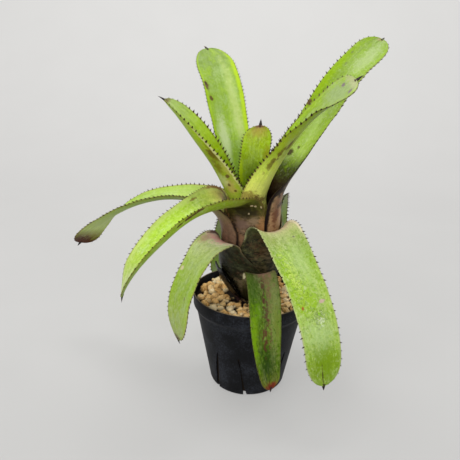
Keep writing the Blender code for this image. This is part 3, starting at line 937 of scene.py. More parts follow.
    def build_mesh(self, chance: random.Random) -> Mesh:
        """The closed leaf with its spines and dry point, in metres."""
        shell = Shell()
        sections = self.sheath_sections() + self.blade_sections()
        count = self.COLUMNS
        even = np.linspace(-1.0, 1.0, count + 1)
        across = self.EVEN * even + self.CROWDED * np.sin(even * math.pi / 2)
        phase = self.layer * self.PHASE_STEP + self.throat
        face = np.concatenate([np.ones(count + 1), [0.5], np.zeros(count + 1), [0.5]])
        spread = np.concatenate([across, [1.0], across[::-1], [-1.0]]) * PLACE_HALF_WIDTH
        size = 2 * count + 4
        rings = []
        margins: dict[int, Margin] = {-1: [], 1: []}
        for section in sections:
            inner, outer, normal = self._ring(section, across, phase)
            side, up = np.array(section.side), np.array(section.face)
            ends = {}
            for sign, index in ((-1, 0), (1, count)):
                angle = float(section.angle(float(sign)))
                out = (side * math.cos(angle) + up * math.sin(angle)) * sign
                middle = (inner[index] + outer[index]) / 2
                ends[sign] = middle + out * (self.EDGE_THICK * self.EDGE_ROUND)
                ways = Vector(out), Vector(normal[index])
                margins[sign].append((Vector(middle), *ways, section.place, section.reach))
            points = np.vstack([inner, ends[1], outer[::-1], ends[-1]])
            where = np.column_stack([spread, np.full(size, section.place), (1.0 - face) * FACES_APART])
            rings.append(shell.add(points, where, section.reach, face, 0.0))
        shell.skin(rings, size)
        for ring in (rings[0], rings[-1]):
            last, turn = ring + 2 * count + 2, ring + count
            shell.faces += [(ring + j, ring + j + 1, last - j - 1, last - j) for j in range(count)]
            shell.faces += [(turn, turn + 1, turn + 2), (ring, last, last + 1)]
        for sign, margin in margins.items():
            self._add_spines(shell, margin, sign, chance)
        self._add_point(shell, sections[-1])
        return shell.mesh(self.name)

    def _add_spines(self, shell: Shell, margin: Margin, sign: int, chance: random.Random) -> None:
        """Hooked spines along one margin of the blade, left for -1, wider apart towards the tip."""
        near, far = self.spine_pitch
        walked, due = 0.0, near * chance.uniform(*self.FIRST_SPINE)
        for (low, *_), (high, out, normal, place, reach) in zip(margin, margin[1:]):
            if place < self.SPINE_START:
                continue
            step = (high - low).length
            while walked + step >= due:
                root = low.lerp(high, (due - walked) / step)
                grown = 0.72 + 0.28 * smooth((1.0 - reach) / 0.25)
                grown *= 0.6 + 0.4 * smooth(place / self.LAST_SMALL_SPINE)
                size = self.spine_length * chance.uniform(*self.SIZE_SCATTER) * grown
                spot = Vector((sign * PLACE_HALF_WIDTH, place, FACES_APART / 2))
                ahead = (high - low).normalized()
                form = size, self.SPINE_RATIOS, self.SPINE_SUNK
                self._hook(shell, root, out, ahead, normal, *form, spot, reach, 1.0, ahead)
                due += (near + (far - near) * smooth(reach / 0.5)) * chance.uniform(*self.PITCH_SCATTER)
            walked += step

    def _add_point(self, shell: Shell, section: Section) -> None:
        """The dry, horny point at the leaf's tip."""
        size = self.point_length
        spot = Vector((0.0, section.place, FACES_APART / 2))
        ratio = (self.point_half_width / size, self.POINT_HALF_THICK / size)
        root = section.centre - section.ahead * self.POINT_SUNK
        aside, back = self.POINT_LEAN
        lean = section.side * aside - section.face * back
        form = size + self.POINT_SUNK, ratio, 0.0
        self._hook(
            shell, root, section.ahead, lean, section.face, *form, spot, 1.0, self.POINT_HORN, section.side
        )

    def _hook(
        self, shell: Shell, root: Vector, out: Vector, lean: Vector, normal: Vector, size: float,
        ratios: Pair, sunk: float, spot: Vector, reach: float, horn: float, broad: Vector,
    ) -> None:
        """A flattened cone that bends over as it rises.

        Args:
            shell: the leaf so far.
            root: where it grows from.
            out: its way at the root.
            lean: the way it bends to.
            normal: the way it is thin.
            size: its length.
            ratios: half its width and half its thickness at the root, as shares of its length.
            sunk: how far its root lies under the surface.
            spot: its place on the flattened leaf.
            reach: its place from foot to tip.
            horn: the horn attribute at its point.
            broad: the way it is wide.
        """
        sides, levels, (slope, bow) = self.HOOK_SIDES, self.HOOK_LEVELS, self.HOOK_LEAN
        wide = broad.normalized()
        thin = wide.cross(out).normalized()
        if thin.dot(normal) < 0.0:
            thin = -thin
        rings = []
        for level in range(levels):
            t = level / levels
            rise = -sunk + (size + sunk) * t
            centre = root + out * rise + lean * (size * (slope * t + bow * t * t))
            girth = (1.0 - t) ** self.HOOK_TAPER
            turns = np.arange(sides) * (math.tau / sides)
            wide_arm = np.outer(np.cos(turns), np.array(wide) * (ratios[0] * size * girth))
            thin_arm = np.outer(np.sin(turns), np.array(thin) * (ratios[1] * size * girth))
            ring = np.array(centre) + wide_arm + thin_arm
            where = np.tile(np.array(spot), (sides, 1))
            grown = self.HORN_AT_ROOT + (1.0 - self.HORN_AT_ROOT) * t
            rings.append(shell.add(ring, where, reach, np.full(sides, 0.5), horn * grown))
        apex = root + out * size + lean * (size * (slope + bow))
        last = shell.add(np.array([apex]), np.array([spot]), reach, np.array([0.5]), horn)
        shell.skin(rings, sides)
        shell.faces += [(rings[-1] + k, rings[-1] + (k + 1) % sides, last) for k in range(sides)]
        shell.faces.append(tuple(rings[0] + k for k in reversed(range(sides))))

    def build(self, effects: Effects, chance: random.Random) -> Object:
        """Build and dress the leaf, its spines scattered by seeded draws."""
        slot = f"{self.name}_tissue"
        mesh = self.build_mesh(chance)
        return add_piece(f"{self.name}_blade", mesh, self.finish.make(slot, effects), slot, self.name)


SHEATH_DARK: Paint = (44, 40, 22)
SHEATH_BLACK: Paint = (22, 19, 9)
SHEATH_MAUVE: Paint = (104, 80, 66)
SHEATH_TAN: Paint = (150, 122, 92)
BLACK_MAROON: Paint = (22, 8, 8)
SCAR_BROWN: Paint = (88, 60, 34)
SCAR_DARK: Paint = (58, 42, 24)
CREAM: Paint = (222, 208, 176)


def alike(first: Patch, *others: tuple[float, float, float, float]) -> tuple[Patch, ...]:
    """A patch and others like it, each given by its reach, across, half length and half width."""
    places = (dict(zip(("reach", "across", "half_length", "half_width"), other)) for other in others)
    return (first, *(replace(first, **place) for place in places))


# Finishes of the leaves, with display colours. A stop is (reach, colour), and a patch is its colour,
# reach, across, half length, half width, softness, raggedness and strength, and its face

GUESSED_LOW = LeafFinish(
    inner=(
        (-1, SHEATH_DARK), (-0.1, SHEATH_DARK), (0.05, (170, 165, 110)), (0.3, (165, 190, 110)),
        (0.7, (140, 168, 80)), (1, (118, 142, 50)),
    ),
    outer=(
        (-1, SHEATH_BLACK), (-0.3, SHEATH_DARK), (0, (110, 112, 70)), (0.3, (140, 160, 100)),
        (1, (128, 150, 84)),
    ),
    scurf=0.18,
)

BACK_TALL = LeafFinish(
    inner=(
        (-1, SHEATH_DARK), (-0.2, (60, 76, 8)), (0, (78, 104, 10)), (0.18, (126, 158, 44)),
        (0.42, (144, 176, 58)), (0.7, (132, 162, 60)), (0.88, (122, 148, 64)), (1, (124, 148, 72)),
    ),
    outer=(
        (-1, SHEATH_DARK), (-0.3, SHEATH_MAUVE), (0, (120, 130, 60)), (0.3, (140, 164, 84)),
        (1, (150, 178, 100)),
    ),
    bloom_amount=0.25, lime=(140, 172, 16), point=(112, 86, 62),
    patches=(
        # The first three patches are painted highlights: pale sheen bands on the upper face
        Patch((184, 200, 122), 0.62, -0.45, 0.24, 0.2, 0.8, 0.9, 0.6),
        Patch((186, 198, 124), 0.42, -0.62, 0.11, 0.18, 0.8, 0.9, 0.5),
        Patch((186, 200, 150), 0.36, 0.4, 0.13, 0.3, 0.6, 0.9, 0.8),
        Patch((84, 112, 6), 0.18, -0.35, 0.16, 0.5, 0.6, 0.9, 0.55),
        Patch((166, 196, 16), 0.58, -0.92, 0.36, 0.12, 0.6, 0.7, 0.85),
        Patch((150, 186, 20), 0.6, 0.94, 0.36, 0.08, 0.6, 0.7, 0.6),
        Patch(SCAR_BROWN, 0.711, 0.82, 0.03, 0.12, 0.4, 1.2, 0.95),
        Patch(SCAR_DARK, 0.722, 0.84, 0.012, 0.06, 0.4, 1, 0.95),
        Patch(SCAR_BROWN, 0.622, 0.74, 0.02, 0.09, 0.4, 1.2, 0.9),
    ),
)

LEFT_UPPER = LeafFinish(
    inner=(
        (-1, SHEATH_DARK), (-0.1, (80, 100, 0)), (0.2, (122, 148, 0)), (0.5, (156, 182, 0)),
        (0.75, (162, 192, 60)), (1, (160, 180, 110)),
    ),
    outer=(
        (-1, SHEATH_DARK), (-0.1, (140, 156, 30)), (0.1, (176, 196, 64)), (0.3, (150, 160, 40)),
        (0.5, (136, 150, 0)), (0.7, (156, 182, 10)), (1, (150, 176, 80)),
    ),
    scurf=0.08, clouds=0.8, lime_amount=0.35, bloom_amount=0.15, ticks=0.25,
    patches=(
        Patch((176, 164, 88), 0.37, 0.9, 0.09, 0.12, 0.6, 1.6, 0.5, OUTER),
        Patch((188, 152, 104), 0.25, 0.62, 0.06, 0.22, 0.6, 1.2, 0.6, OUTER),
        Patch((196, 204, 150), 0.31, 0.4, 0.05, 0.22, 0.6, 1.2, 0.6, OUTER),
        Patch((96, 72, 16), 0.53, 0.84, 0.06, 0.16, 0.5, 1.3, 0.85, OUTER),
        Patch((110, 96, 14), 0.42, 0.62, 0.05, 0.14, 0.5, 1.5, 0.7, OUTER),
        *alike(
            Patch(SCAR_BROWN, 0.33, 0.76, 0.014, 0.08, 0.4, 1.4, 0.85, OUTER),
            (0.26, 0.6, 0.012, 0.06), (0.2, 0.7, 0.008, 0.04),
        ),
        Patch((206, 206, 140), 0.45, 0.97, 0.3, 0.05, 0.5, 0.6, 0.8, BOTH),
        Patch((120, 92, 60), 0.985, 0, 0.02, 0.9, 0.6, 0.9, 0.8, BOTH),
    ),
)

CENTRE = LeafFinish(
    inner=(
        (-1, SHEATH_DARK), (-0.1, (70, 88, 0)), (0.15, (112, 136, 0)), (0.45, (116, 140, 0)),
        (0.75, (136, 160, 8)), (0.9, (142, 156, 30)), (1, (134, 112, 44)),
    ),
    outer=(
        (-1, SHEATH_DARK), (0, (110, 126, 30)), (1, (150, 172, 60)),
    ),
    scurf=0.05, clouds=0.6, lime_amount=0.4, bloom_amount=0.1, fleck=(96, 116, 0), fleck_amount=0.35,
    patches=(
        Patch((84, 104, 0), 0.36, 0.05, 0.16, 0.45, 0.6, 0.9, 0.8),
        Patch((152, 134, 54), 0.93, 0.1, 0.07, 0.6, 0.8, 1.4, 0.65),
        Patch((124, 118, 20), 0.62, -0.75, 0.1, 0.22, 0.6, 1.2, 0.7),
        Patch((108, 70, 58), 1, 0, 0.03, 1, 0.5, 1, 0.9),
        Patch((154, 178, 10), 0.36, 0.9, 0.16, 0.14, 0.6, 0.7, 0.8),
    ),
)

RIGHT_BACK = LeafFinish(
    inner=(
        (-1, BLACK_MAROON), (-0.1, BLACK_MAROON), (0.07, (44, 18, 6)), (0.16, (52, 60, 0)),
        (0.25, (148, 174, 66)), (0.34, (136, 162, 50)), (0.44, (114, 140, 28)), (0.6, (106, 132, 20)),
        (0.8, (126, 154, 48)), (1, (128, 152, 72)),
    ),
    outer=(
        (-1, SHEATH_TAN), (-0.06, (140, 104, 74)), (0.03, BLACK_MAROON), (0.09, (50, 16, 8)),
        (0.15, (60, 78, 0)), (0.35, (146, 176, 66)), (0.6, (150, 178, 74)), (1, (164, 190, 104)),
    ),
    scurf=0.06, lime_amount=0.6, bloom_amount=0.15, ticks=0.35, fleck_amount=0.35, pale_amount=0.2,
    lime=(126, 160, 6),
    patches=(
        Patch((190, 154, 114), -0.16, -0.66, 0.17, 0.34, 0.6, 2.2, 0.8, OUTER),
        Patch((96, 52, 36), -0.1, -0.72, 0.1, 0.12, 0.6, 1.8, 0.85, OUTER),
        # A near-black strip along the left margin of the outer face, painted as shade in the gap beside the
        # next leaf
        Patch(BLACK_MAROON, -0.2, -1, 0.5, 0.09, 0.3, 0.4, 1, OUTER),
        Patch((152, 178, 92), 0.42, 0, 0.1, 0.22, 0.8, 1.6, 0.5),
        Patch((156, 172, 118), 0.84, -0.2, 0.1, 0.4, 0.6, 1.2, 0.6),
        Patch((134, 168, 4), 0.66, 0.84, 0.26, 0.2, 0.6, 0.9, 0.8),
        Patch((56, 44, 12), 0.235, 0.32, 0.02, 0.1, 0.4, 1.2, 0.95),
        Patch((72, 60, 20), 0.27, 0.1, 0.008, 0.06, 0.4, 1.2, 0.8),
        Patch(SCAR_BROWN, 0.5, 0.93, 0.016, 0.12, 0.4, 1, 0.95, BOTH),
        Patch((104, 118, 62), 0.846, 0.76, 0.01, 0.05, 0.5, 1.2, 0.8),
        Patch((112, 126, 70), 0.772, 0.55, 0.01, 0.05, 0.5, 1.2, 0.8),
        Patch((150, 132, 92), 0.992, 0.3, 0.01, 0.4, 0.6, 1, 0.7),
    ),
)

RIGHT_FRONT = LeafFinish(
    inner=(
        (-1, SHEATH_DARK), (0, (104, 120, 0)), (0.4, (118, 148, 4)), (0.7, (122, 148, 26)),
        (1, (134, 156, 70)),
    ),
    outer=(
        (-1, SHEATH_DARK), (-0.1, (160, 150, 64)), (0.04, (226, 230, 118)), (0.2, (216, 230, 96)),
        (0.38, (154, 172, 6)), (0.55, (146, 166, 16)), (0.66, (126, 148, 10)), (0.82, (120, 140, 60)),
        (1, (160, 168, 124)),
    ),
    scurf=0.1, lime_amount=0.35, bloom_amount=0.3, ticks=0.4, edge=(96, 74, 30),
    patches=(
        Patch((166, 166, 126), 0.975, 0, 0.03, 0.9, 0.6, 1.2, 0.8, BOTH),
        Patch((132, 150, 98), 0.86, 0, 0.09, 0.8, 0.6, 1.2, 0.75, BOTH),
        *alike(
            Patch((112, 96, 104), 0.918, 0.4, 0.014, 0.13, 0.5, 1.4, 0.9, BOTH),
            (0.93, -0.52, 0.018, 0.14),
        ),
        # A pale stripe along the middle of the outer face, painted as the keel's highlight
        Patch((196, 202, 112), 0.32, -0.02, 0.34, 0.06, 0.5, 0.8, 0.6, OUTER),
        *alike(
            Patch((92, 66, 16), 0.436, -0.4, 0.04, 0.09, 0.5, 1.8, 0.85, OUTER),
            (0.356, -0.58, 0.04, 0.11),
        ),
        Patch((96, 74, 20), 0.28, -0.66, 0.05, 0.1, 0.5, 1.8, 0.75, OUTER),
        Patch((190, 198, 100), 0.16, -0.22, 0.08, 0.16, 0.6, 1.2, 0.75, OUTER),
        Patch((118, 84, 44), 0.03, -0.78, 0.04, 0.22, 0.6, 2.4, 0.65, OUTER),
        Patch((92, 56, 34), 0.02, -0.3, 0.02, 0.3, 0.6, 1.8, 0.75, OUTER),
    ),
)

LEFT_BACK = LeafFinish(
    inner=(
        (-1, SHEATH_MAUVE), (-0.1, (96, 66, 54)), (0.02, (150, 112, 74)), (0.1, (164, 172, 86)),
        (0.25, (156, 178, 84)), (0.6, (150, 178, 76)), (0.85, (150, 172, 84)), (1, (80, 64, 24)),
    ),
    outer=(
        (-1, SHEATH_DARK), (-0.6, SHEATH_MAUVE), (0.04, (128, 98, 82)), (0.12, (122, 108, 60)),
        (0.2, (126, 138, 54)), (0.35, (124, 148, 44)), (0.6, (146, 172, 66)), (0.86, (190, 206, 124)),
        (0.93, (120, 104, 54)), (0.965, (84, 50, 26)), (1, (56, 30, 16)),
    ),
    scurf=0.08, lime_amount=0.2, bloom_amount=0.3, ticks=0.45, blotch=(84, 58, 48), edge=(126, 96, 54),
    patches=(
        Patch((112, 66, 38), 0.05, -0.75, 0.06, 0.3, 0.6, 1.6, 0.8),
        Patch((74, 32, 12), 0.985, 0.2, 0.04, 1.4, 0.5, 1.6, 0.95, BOTH),
        # A near-black strip along the right margin of the outer face, painted as shade in the crease beside
        # the next sheath
        Patch(BLACK_MAROON, -0.12, 1, 0.26, 0.06, 0.3, 0.6, 0.95, OUTER),
    ),
)

LEFT_FRONT = LeafFinish(
    inner=(
        (-1, SHEATH_MAUVE), (-0.1, (140, 124, 74)), (0.03, (182, 170, 96)), (0.12, (184, 194, 92)),
        (0.25, (160, 184, 74)), (0.45, (158, 188, 54)), (0.6, (158, 190, 54)), (0.8, (160, 184, 76)),
        (1, (186, 192, 148)),
    ),
    outer=(
        (-1, SHEATH_DARK), (-0.6, (112, 84, 64)), (-0.2, (120, 94, 74)), (-0.04, (84, 70, 34)),
        (0.04, (72, 74, 16)), (0.1, (134, 144, 44)), (0.5, (160, 196, 46)), (1, (150, 170, 84)),
    ),
    scurf=0.06, lime_amount=0.3, ticks=0.65, fleck_amount=0.45, pale_amount=0.25, crust=0.8,
    blotch=(44, 36, 18), blotch_amount=0.75, edge=(120, 96, 40),
    patches=(
        Patch((150, 188, 20), 0.5, -0.1, 0.2, 0.35, 0.8, 2.2, 0.45),
        Patch((176, 192, 110), 0.5, -0.9, 0.45, 0.12, 0.6, 1.2, 0.6),
        Patch((190, 150, 104), 0.03, -0.62, 0.016, 0.2, 0.6, 1.5, 0.6),
        Patch((112, 60, 38), 0.05, -0.96, 0.06, 0.05, 0.5, 1.4, 0.8),
        Patch((112, 72, 40), 0.24, -0.8, 0.03, 0.05, 0.5, 1.6, 0.8),
        Patch((118, 146, 28), 0.3, 0.3, 0.12, 0.4, 0.9, 3, 0.55),
        Patch((116, 140, 40), 0.18, -0.2, 0.06, 0.5, 0.9, 3, 0.5),
        Patch((124, 154, 34), 0.68, 0.2, 0.1, 0.4, 0.9, 3, 0.5),
        Patch(SCAR_BROWN, 0.335, 0.4, 0.014, 0.05, 0.4, 2.4, 0.85),
        Patch(SCAR_BROWN, 0.235, 0.1, 0.012, 0.05, 0.4, 2.4, 0.75),
        Patch(SCAR_BROWN, 0.6, 0.62, 0.01, 0.04, 0.4, 2.4, 0.8),
        *alike(
            Patch(SCAR_BROWN, 0.52, 0.83, 0.026, 0.05, 0.4, 1.2, 0.95, OUTER),
            (0.475, 0.87, 0.028, 0.06), (0.43, 0.9, 0.028, 0.06), (0.38, 0.94, 0.028, 0.06),
        ),
        Patch((122, 96, 84), -0.11, 0.3, 0.07, 0.26, 0.6, 1.4, 0.8, OUTER),
        Patch((150, 128, 100), -0.07, 0.72, 0.05, 0.16, 0.6, 1.4, 0.75, OUTER),
        Patch((168, 122, 78), -0.16, 0.94, 0.12, 0.14, 0.6, 1.4, 0.8, OUTER),
        Patch((34, 28, 8), 0.02, 0.45, 0.05, 0.3, 0.6, 1.6, 0.85, OUTER),
        *alike(
            Patch((176, 126, 84), -0.02, -0.3, 0.03, 0.07, 0.5, 0.8, 0.85, OUTER),
            (-0.07, -0.17, 0.035, 0.07), (-0.13, -0.02, 0.04, 0.07),
        ),
        Patch((150, 112, 80), -0.2, 0.14, 0.045, 0.08, 0.5, 0.8, 0.85, OUTER),
        Patch((136, 100, 74), -0.27, 0.3, 0.05, 0.09, 0.5, 0.8, 0.85, OUTER),
        *alike(
            Patch((190, 170, 132), 0.034, 0.71, 0.004, 0.04, 0.3, 1.6, 0.95, OUTER),
            (0.026, 0.8, 0.004, 0.035), (0.018, 0.92, 0.005, 0.035),
        ),
        Patch((176, 158, 124), 0.002, 0.55, 0.003, 0.022, 0.3, 1.6, 0.95, OUTER),
    ),
)

BACK_RIGHT_LOW = LeafFinish(
    inner=(
        (-1, SHEATH_TAN), (0, (120, 130, 84)), (0.4, (140, 166, 112)), (1, (130, 156, 70)),
    ),
    outer=(
        (-1, SHEATH_TAN), (-0.2, (158, 126, 98)), (-0.05, (136, 116, 80)), (0.05, (150, 158, 126)),
        (0.3, (166, 184, 150)), (1, (140, 160, 100)),
    ),
    scurf=0.2, ticks=0.4, blotch=(78, 46, 28), blotch_amount=0.85,
)

FRONT_RIGHT_LOW = LeafFinish(
    inner=(
        (-1, SHEATH_DARK), (-0.05, (150, 122, 92)), (0.03, (220, 206, 162)), (0.12, (176, 188, 118)),
        (0.22, (148, 172, 86)), (0.35, (150, 176, 82)), (0.55, (156, 182, 84)), (0.75, (156, 182, 90)),
        (0.87, (128, 158, 34)), (1, (134, 160, 60)),
    ),
    outer=(
        (-1, SHEATH_BLACK), (-0.3, (38, 34, 15)), (0, (44, 38, 16)), (0.2, (110, 126, 70)),
        (1, (128, 150, 80)),
    ),
    clouds=0.95, veins=0.4, ticks=0.8, lime_amount=0.3, bloom=(166, 188, 122), silver=(192, 206, 150),
    fleck=(100, 138, 2), fleck_amount=0.6, pale_amount=0.4, crust=0.9, blotch=(10, 6, 2),
    blotch_amount=0.85, edge=(186, 188, 138),
    patches=(
        Patch((206, 176, 152), 0.04, -0.1, 0.035, 0.9, 0.6, 1.4, 0.7),
        Patch((96, 68, 44), -0.1, -0.3, 0.2, 0.22, 0.8, 4, 0.45, OUTER),
        Patch((104, 92, 66), -0.4, -0.2, 0.14, 0.2, 0.8, 4, 0.5, OUTER),
        Patch(CREAM, 0.06, 0.96, 0.09, 0.06, 0.5, 0.8, 0.85),
        Patch((132, 172, 4), 0.41, -0.44, 0.17, 0.26, 0.4, 4, 0.9),
        # This pale, ragged mottle is partly the leaf's own pale mottle and partly painted glints on water
        # drops
        Patch((196, 212, 116), 0.43, -0.36, 0.12, 0.16, 0.3, 5.5, 0.6),
        Patch((134, 172, 16), 0.53, -0.1, 0.08, 0.34, 0.4, 4.5, 0.7),
        # A darker line painted as shade at a drop's edge, a near-white fleck painted as the drop's glint,
        # then the lime drop
        Patch((96, 112, 56), 0.625, 0.12, 0.03, 0.2, 0.3, 4.5, 0.6),
        Patch((226, 234, 200), 0.64, 0.16, 0.02, 0.13, 0.2, 5, 0.65),
        Patch((126, 176, 4), 0.605, 0.16, 0.01, 0.06, 0.3, 0.8, 0.9),
        Patch((120, 154, 14), 0.3, 0.72, 0.12, 0.2, 0.6, 3, 0.6),
        Patch((110, 142, 6), 0.86, 0.1, 0.1, 0.55, 0.6, 2.2, 0.85),
        Patch((176, 202, 134), 0.7, -0.1, 0.07, 0.6, 0.8, 2.4, 0.5),
        Patch((166, 190, 118), 0.3, 0.3, 0.1, 0.35, 0.8, 2.6, 0.5),
        Patch((128, 136, 70), 0.14, -0.5, 0.05, 0.3, 0.6, 2.6, 0.45),
        Patch((112, 104, 92), 0.146, 0.55, 0.007, 0.05, 0.5, 1.2, 0.85),
        Patch((150, 66, 40), 0.555, -0.55, 0.01, 0.05, 0.4, 1.4, 0.9),
        Patch((186, 158, 146), 0.546, 0.5, 0.011, 0.14, 0.4, 1.4, 0.9),
        Patch((60, 34, 24), 0.945, -0.1, 0.06, 0.04, 0.5, 1.2, 0.95),
    ),
    wet=(
        *alike(Patch(CREAM, 0.44, -0.38, 0.1, 0.26, 0.5, 1.8), (0.62, 0.05, 0.05, 0.32)),
    ),
)

FRONT_LEFT_LOW = LeafFinish(
    inner=(
        (-1, SHEATH_DARK), (-0.04, (150, 104, 88)), (0.03, (236, 210, 186)), (0.14, (222, 226, 168)),
        (0.35, (190, 210, 122)), (0.6, (154, 184, 66)), (0.8, (164, 184, 88)), (1, (156, 166, 106)),
    ),
    outer=(
        (-1, SHEATH_BLACK), (-0.2, (30, 30, 8)), (0, (36, 32, 12)), (0.2, (110, 124, 70)),
        (1, (120, 140, 80)),
    ),
    scurf=0.1, ticks=0.55, lime_amount=0.5, bloom_amount=0.5, fleck_amount=0.35, pale_amount=0.3,
    blotch=(62, 24, 20), edge=(150, 124, 84),
    wet=(
        Patch(BLACK_MAROON, -0.66, -0.36, 0.36, 0.46, 0.4, 0.8, 1, OUTER),
    ),
    patches=(
        Patch((12, 9, 5), -0.66, -0.36, 0.36, 0.46, 0.4, 0.8, 0.95, OUTER),
        Patch((128, 112, 84), -0.62, 0.34, 0.16, 0.16, 0.6, 2.4, 0.6, OUTER),
        # Two thin pale streaks painted as highlights on the glossy black base
        Patch((150, 146, 136), -0.58, -0.3, 0.1, 0.04, 0.3, 2.4, 0.75, OUTER),
        Patch((132, 128, 118), -0.74, -0.16, 0.06, 0.03, 0.3, 2.4, 0.65, OUTER),
        Patch((255, 244, 212), 0.09, 0.1, 0.07, 1.05, 0.6, 1.4, 0.9),
        Patch((255, 186, 182), 0.07, -0.22, 0.06, 0.6, 0.7, 1.6, 0.95),
        Patch((78, 32, 26), 0.03, -0.92, 0.06, 0.18, 0.5, 1.8, 0.9, BOTH),
        Patch((196, 150, 130), 0.16, -0.7, 0.05, 0.16, 0.6, 1.6, 0.6),
        Patch((214, 200, 164), 0.45, -0.8, 0.02, 0.1, 0.5, 1.4, 0.85),
        Patch((120, 116, 80), 0.66, 0.3, 0.014, 0.05, 0.5, 1.4, 0.7),
        Patch((96, 80, 66), 0.985, 0, 0.02, 0.9, 0.5, 1, 0.8, BOTH),
    ),
)

FRONT_LOWEST = LeafFinish(
    inner=(
        (-1, SHEATH_BLACK), (-0.1, (50, 40, 24)), (0.03, (132, 112, 92)), (0.12, (104, 108, 66)),
        (0.3, (80, 104, 30)), (0.6, (84, 112, 14)), (0.85, (58, 84, 0)), (0.95, (96, 108, 20)),
        (1, (112, 30, 20)),
    ),
    outer=(
        (-1, SHEATH_BLACK), (-0.4, (44, 40, 20)), (-0.15, (96, 86, 58)), (0, (120, 108, 78)),
        (0.3, (84, 98, 50)), (1, (90, 110, 50)),
    ),
    scurf=0.08, clouds=0.9, veins=0.8, ticks=0.55, fleck=(40, 60, 6), fleck_amount=0.7, pale_amount=0.25,
    silver=(150, 160, 100), lime_amount=0.3, bloom_amount=0.2, lime=(106, 148, 6), bloom=(146, 158, 110),
    blotch=(30, 20, 10), edge=(84, 70, 34),
    patches=(
        Patch((122, 130, 68), 0.34, 0.62, 0.34, 0.4, 0.8, 3, 0.65),
        Patch((46, 78, 0), 0.26, -0.62, 0.2, 0.4, 0.8, 2.6, 0.65),
        Patch((104, 138, 0), 0.52, -0.7, 0.1, 0.2, 0.8, 2.8, 0.75),
        Patch((56, 84, 0), 0.58, -0.3, 0.14, 0.2, 0.8, 3, 0.6),
        Patch((100, 136, 0), 0.64, -0.86, 0.14, 0.16, 0.6, 2, 0.8),
        Patch((118, 90, 70), 0.15, 0.3, 0.1, 0.3, 0.8, 3.6, 0.6),
        Patch((104, 82, 52), 0.3, 0.26, 0.14, 0.12, 0.8, 5, 0.5),
        Patch((96, 112, 22), 0.5, 0.72, 0.1, 0.16, 0.8, 3, 0.6),
        Patch((92, 132, 0), 0.42, -0.45, 0.06, 0.2, 0.6, 1.8, 0.7),
        Patch((30, 56, 0), 0.8, -0.1, 0.12, 0.35, 0.6, 1.6, 0.8),
        Patch((72, 46, 32), 0.27, -0.02, 0.11, 0.08, 0.8, 6.5, 0.7),
        Patch((74, 42, 32), 0.42, 0.08, 0.09, 0.08, 0.8, 6.5, 0.75),
        Patch((84, 42, 32), 0.61, -0.02, 0.05, 0.17, 0.8, 6, 0.8),
        Patch((86, 46, 34), 0.52, 0.16, 0.05, 0.06, 0.5, 3.4, 0.7),
        Patch((150, 110, 96), 0.07, 0.2, 0.05, 0.5, 0.6, 1.8, 0.7),
        Patch((224, 214, 172), 0.03, -0.9, 0.025, 0.08, 0.4, 1.5, 0.9, BOTH),
        Patch((112, 20, 14), 0.985, 0, 0.03, 0.9, 0.5, 1.2, 0.85, BOTH),
    ),
)

# Shapes of the leaves, from the back and the middle to the lowest

